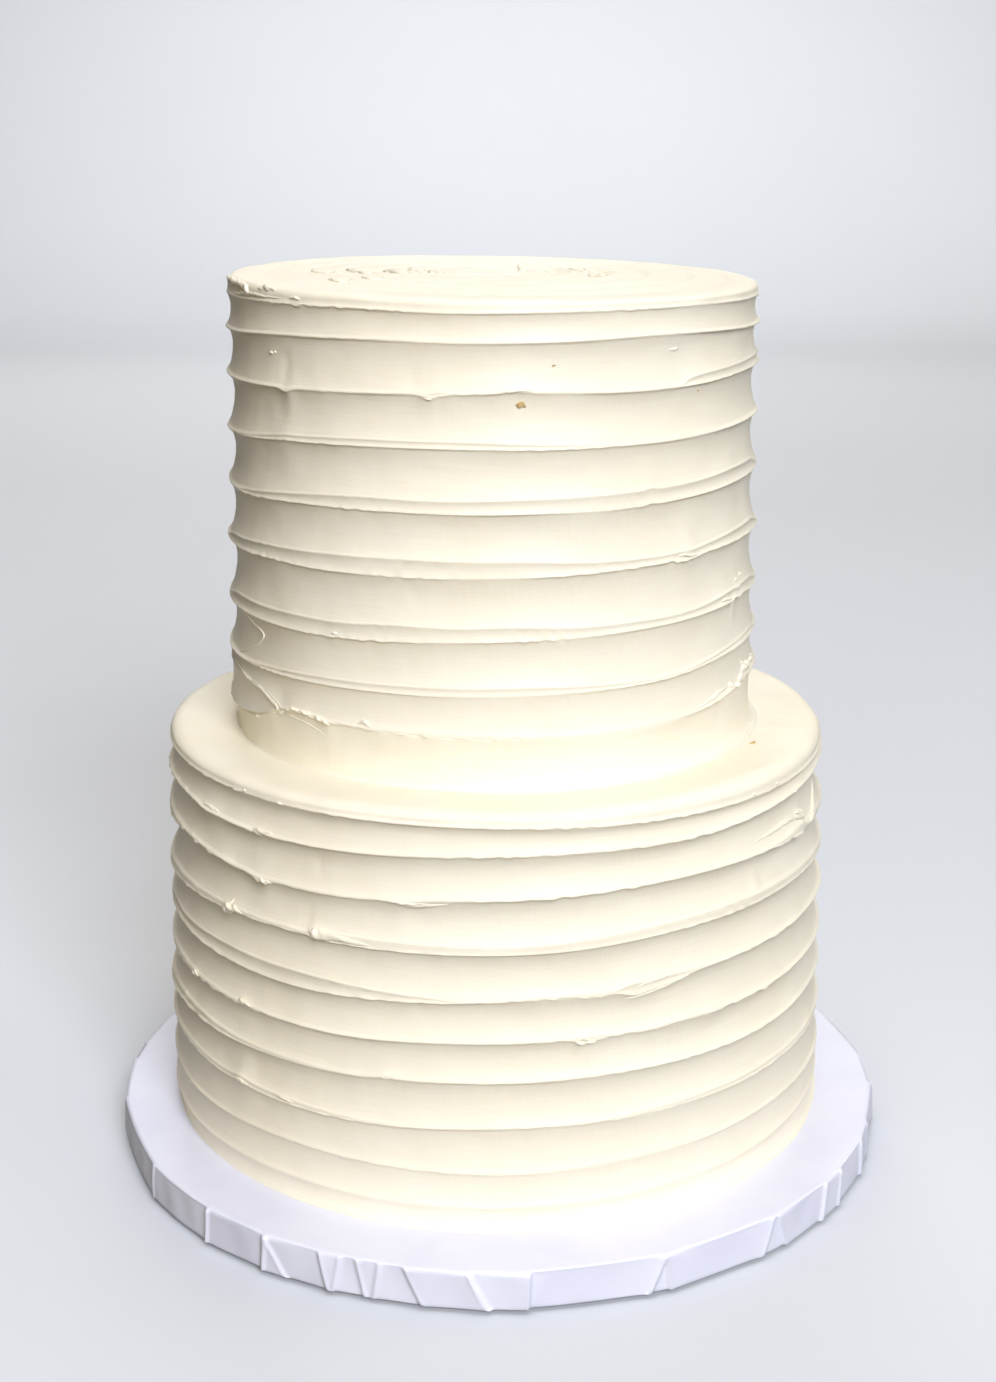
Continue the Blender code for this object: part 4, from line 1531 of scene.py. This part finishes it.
def make_backdrop(colours):
    """The pale sweep that the cake stands on: a flat floor, a quarter round and an upright
    wall, carried along X."""
    arc = np.linspace(0.0, 0.5 * math.pi, 24)
    back = SWEEP_DEPTH + SWEEP_BEND
    y = np.concatenate([[SWEEP_FRONT], SWEEP_DEPTH + SWEEP_BEND * np.sin(arc), [back]])
    z = np.concatenate([[0.0], SWEEP_BEND * (1.0 - np.cos(arc)), [SWEEP_HEIGHT]])
    x = np.array([-SWEEP_HALF_WIDTH, SWEEP_HALF_WIDTH])
    points = np.stack(np.broadcast_arrays(x[None, :], y[:, None], z[:, None]), axis=-1)
    start = 2 * np.arange(len(y) - 1)
    faces = np.stack([start, start + 1, start + 3, start + 2], axis=-1)
    mesh = bpy.data.meshes.new("sweep")
    mesh.from_pydata(points.reshape(-1, 3).tolist(), [], faces.tolist())
    mesh.shade_smooth()
    material, tree, shader, place = principled("pale_sweep")
    shade = [SWEEP_SHADE * channel for channel in colours.floor_grey[:3]] + [1.0]
    cloud = add_noise(tree, 3.0, 2.0, place)
    tint = add_mix(tree, cloud, colours.floor_grey, shade)
    set_shader(tree, shader, {"Base Color": tint, "Roughness": 0.7})
    mesh.materials.append(material)
    sweep = bpy.data.objects.new("sweep", mesh)
    bpy.context.scene.collection.objects.link(sweep)
    sweep.visible_diffuse = False


class Softbox(NamedTuple):
    """A square area light that faces the middle of the cake: bearing and elevation in degrees,
    power in watts, colour, distance in metres, how wide it throws its light in degrees, and
    whether it shows in gloss."""

    name: str
    bearing: float
    elevation: float
    power: float
    colour: tuple
    distance: float = 4.0
    spread: float = 180.0
    gloss: bool = True


# A large key from the front right, one overhead, weak warm fills on both sides and two behind
SOFTBOXES = (
    Softbox("key_softbox", 15.0, 28.0, 192.0, (0.895, 0.917, 1.0)),
    Softbox("top_softbox", 0.0, 89.0, 62.0, (1.0, 0.95, 0.90)),
    Softbox("left_softbox", -20.0, 10.0, 27.0, (1.0, 0.78, 0.40)),
    Softbox("right_softbox", 105.0, 25.0, 24.0, (1.0, 0.89, 0.68)),
    Softbox("back_softbox", 180.0, 43.0, 30.0, (1.0, 0.98, 0.95)),
    Softbox("rear_softbox", 188.0, 18.0, 3.6, (1.0, 0.98, 0.95), 3.0, 70.0, False),
)
# Height that the softboxes face, and their width as a share of their distance
LIT_HEIGHT = 0.15
SOFTBOX_WIDTH = 0.5
# The light for the backdrop alone: width and place in metres, tilt and spread in degrees
BACKDROP_BOX_WIDTH = 1.2
BACKDROP_BOX_PLACE = (0.0, 1.5, 2.3)
BACKDROP_BOX_TILT = 50.0
BACKDROP_BOX_SPREAD = 110.0
BACKDROP_BOX_POWER = 13.0
# The room's own faint light
ROOM_COLOUR = (0.92, 0.94, 0.97, 1.0)
ROOM_STRENGTH = 0.014
# The camera: film and focal length in mm, the frame's shift in film widths, its place in
# metres and how far it looks down in radians
FILM_WIDTH = 36.0
FOCAL_LENGTH = 52.60
FRAME_SHIFT = -0.245
CAMERA_PLACE = (-0.00025, -0.66215, 0.33087)
CAMERA_DIP = 0.1086


def add_area_light(name, width, power, spread):
    """A square area light, put in the scene: the object and its light."""
    light = bpy.data.lights.new(name, "AREA")
    light.size = width
    light.energy = power
    light.spread = math.radians(spread)
    box = bpy.data.objects.new(name, light)
    bpy.context.scene.collection.objects.link(box)
    return box, light


def add_softbox(soft):
    """Stand a softbox at its distance on its bearing and elevation from the lit height."""
    width = SOFTBOX_WIDTH * soft.distance
    box, light = add_area_light(soft.name, width, soft.power, soft.spread)
    light.color = soft.colour
    a, e = math.radians(soft.bearing), math.radians(soft.elevation)
    level = soft.distance * math.cos(e)
    height = LIT_HEIGHT + soft.distance * math.sin(e)
    box.location = (level * math.sin(a), -level * math.cos(a), height)
    box.rotation_euler = (0.5 * math.pi - e, 0.0, a)
    box.visible_glossy = soft.gloss


def light_the_room():
    """Soft studio light: the softboxes round the cake, one for the backdrop alone, and a faint
    even light from all sides."""
    for soft in SOFTBOXES:
        add_softbox(soft)
    box, _ = add_area_light(
        "backdrop_softbox", BACKDROP_BOX_WIDTH, BACKDROP_BOX_POWER, BACKDROP_BOX_SPREAD
    )
    box.location = BACKDROP_BOX_PLACE
    box.rotation_euler = (math.radians(BACKDROP_BOX_TILT), 0.0, 0.0)
    world = bpy.data.worlds.new("pale_room")
    world.use_nodes = True
    background = world.node_tree.nodes["Background"]
    background.inputs["Color"].default_value = ROOM_COLOUR
    background.inputs["Strength"].default_value = ROOM_STRENGTH
    bpy.context.scene.world = world
    bpy.context.scene.view_settings.view_transform = "Standard"


def add_camera():
    """The camera at the photograph's viewing angle. The frame is shifted down the picture, as
    the photograph's upright sides show that its own was."""
    data = bpy.data.cameras.new("photo_camera")
    data.sensor_width = FILM_WIDTH
    data.lens = FOCAL_LENGTH
    data.shift_y = FRAME_SHIFT
    data.dof.use_dof = False
    camera = bpy.data.objects.new("photo_camera", data)
    camera.location = CAMERA_PLACE
    camera.rotation_euler = (0.5 * math.pi - CAMERA_DIP, 0.0, 0.0)
    bpy.context.scene.collection.objects.link(camera)
    bpy.context.scene.camera = camera


class CAKE_OT_wrap_board(bpy.types.Operator):
    """Make the paper-wrapped board with its folds"""

    bl_idname = "cake.wrap_board"
    bl_label = "Wrap the board"

    def execute(self, context):
        make_board(context.scene.cake_sizes, paper_material(context.scene.cake_colours))
        return {"FINISHED"}


class CAKE_OT_ice_bottom(bpy.types.Operator):
    """Ice the lower tier"""

    bl_idname = "cake.ice_bottom"
    bl_label = "Ice the lower tier"

    def execute(self, context):
        make_tier(BOTTOM, context.scene.cake_sizes, cream_material(context.scene.cake_colours))
        return {"FINISHED"}


class CAKE_OT_ice_top(bpy.types.Operator):
    """Ice the upper tier and its ringed top face"""

    bl_idname = "cake.ice_top"
    bl_label = "Ice the upper tier"

    def execute(self, context):
        make_tier(TOP, context.scene.cake_sizes, cream_material(context.scene.cake_colours))
        return {"FINISHED"}


class CAKE_OT_tear_icing(bpy.types.Operator):
    """Add the torn bits of icing along the crests and on the top face"""

    bl_idname = "cake.tear_icing"
    bl_label = "Add torn icing"

    def execute(self, context):
        cream = cream_material(context.scene.cake_colours)
        for name, tier in (("torn_icing_bottom", BOTTOM), ("torn_icing_top", TOP)):
            mesh = closed_turnings(name, torn_bits(tier, context.scene.cake_sizes))
            make_piece(name, mesh, cream)
        return {"FINISHED"}


class CAKE_OT_drop_crumbs(bpy.types.Operator):
    """Add the few crumbs caught in the icing"""

    bl_idname = "cake.drop_crumbs"
    bl_label = "Drop the crumbs"

    def execute(self, context):
        mesh = closed_turnings("caught_crumbs", crumb_shells(context.scene.cake_sizes))
        make_piece("caught_crumbs", mesh, crumb_material(context.scene.cake_colours))
        return {"FINISHED"}


class CAKE_OT_set_stage(bpy.types.Operator):
    """Set the camera, the pale sweep and the soft lights"""

    bl_idname = "cake.set_stage"
    bl_label = "Set the stage"

    def execute(self, context):
        add_camera()
        make_backdrop(context.scene.cake_colours)
        light_the_room()
        return {"FINISHED"}


STEPS = (
    CAKE_OT_set_stage,
    CAKE_OT_wrap_board,
    CAKE_OT_ice_bottom,
    CAKE_OT_ice_top,
    CAKE_OT_tear_icing,
    CAKE_OT_drop_crumbs,
)


class CAKE_PT_maker(bpy.types.Panel):
    """Lists the steps of making the cake and the settings that they use"""

    bl_idname = "CAKE_PT_maker"
    bl_label = "Tiered cake"
    bl_space_type = "VIEW_3D"
    bl_region_type = "UI"
    bl_category = "Cake"

    def draw(self, context):
        layout = self.layout
        for step in STEPS:
            layout.operator(step.bl_idname)
        for settings in (context.scene.cake_sizes, context.scene.cake_colours):
            box = layout.box()
            for setting in settings.__annotations__:
                box.prop(settings, setting)


CLASSES = (CakeSizes, CakeColours) + STEPS + (CAKE_PT_maker,)


def register():
    """Register the classes and hang the settings on the scene."""
    for cls in CLASSES:
        bpy.utils.register_class(cls)
    bpy.types.Scene.cake_sizes = PointerProperty(type=CakeSizes)
    bpy.types.Scene.cake_colours = PointerProperty(type=CakeColours)


def unregister():
    """Take the settings off the scene and unregister the classes."""
    del bpy.types.Scene.cake_colours
    del bpy.types.Scene.cake_sizes
    for cls in reversed(CLASSES):
        bpy.utils.unregister_class(cls)


def main():
    """Make everything in order."""
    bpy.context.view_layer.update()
    register()
    for step in STEPS:
        group, name = step.bl_idname.split(".")
        getattr(getattr(bpy.ops, group), name)()


if __name__ == "__main__":
    main()
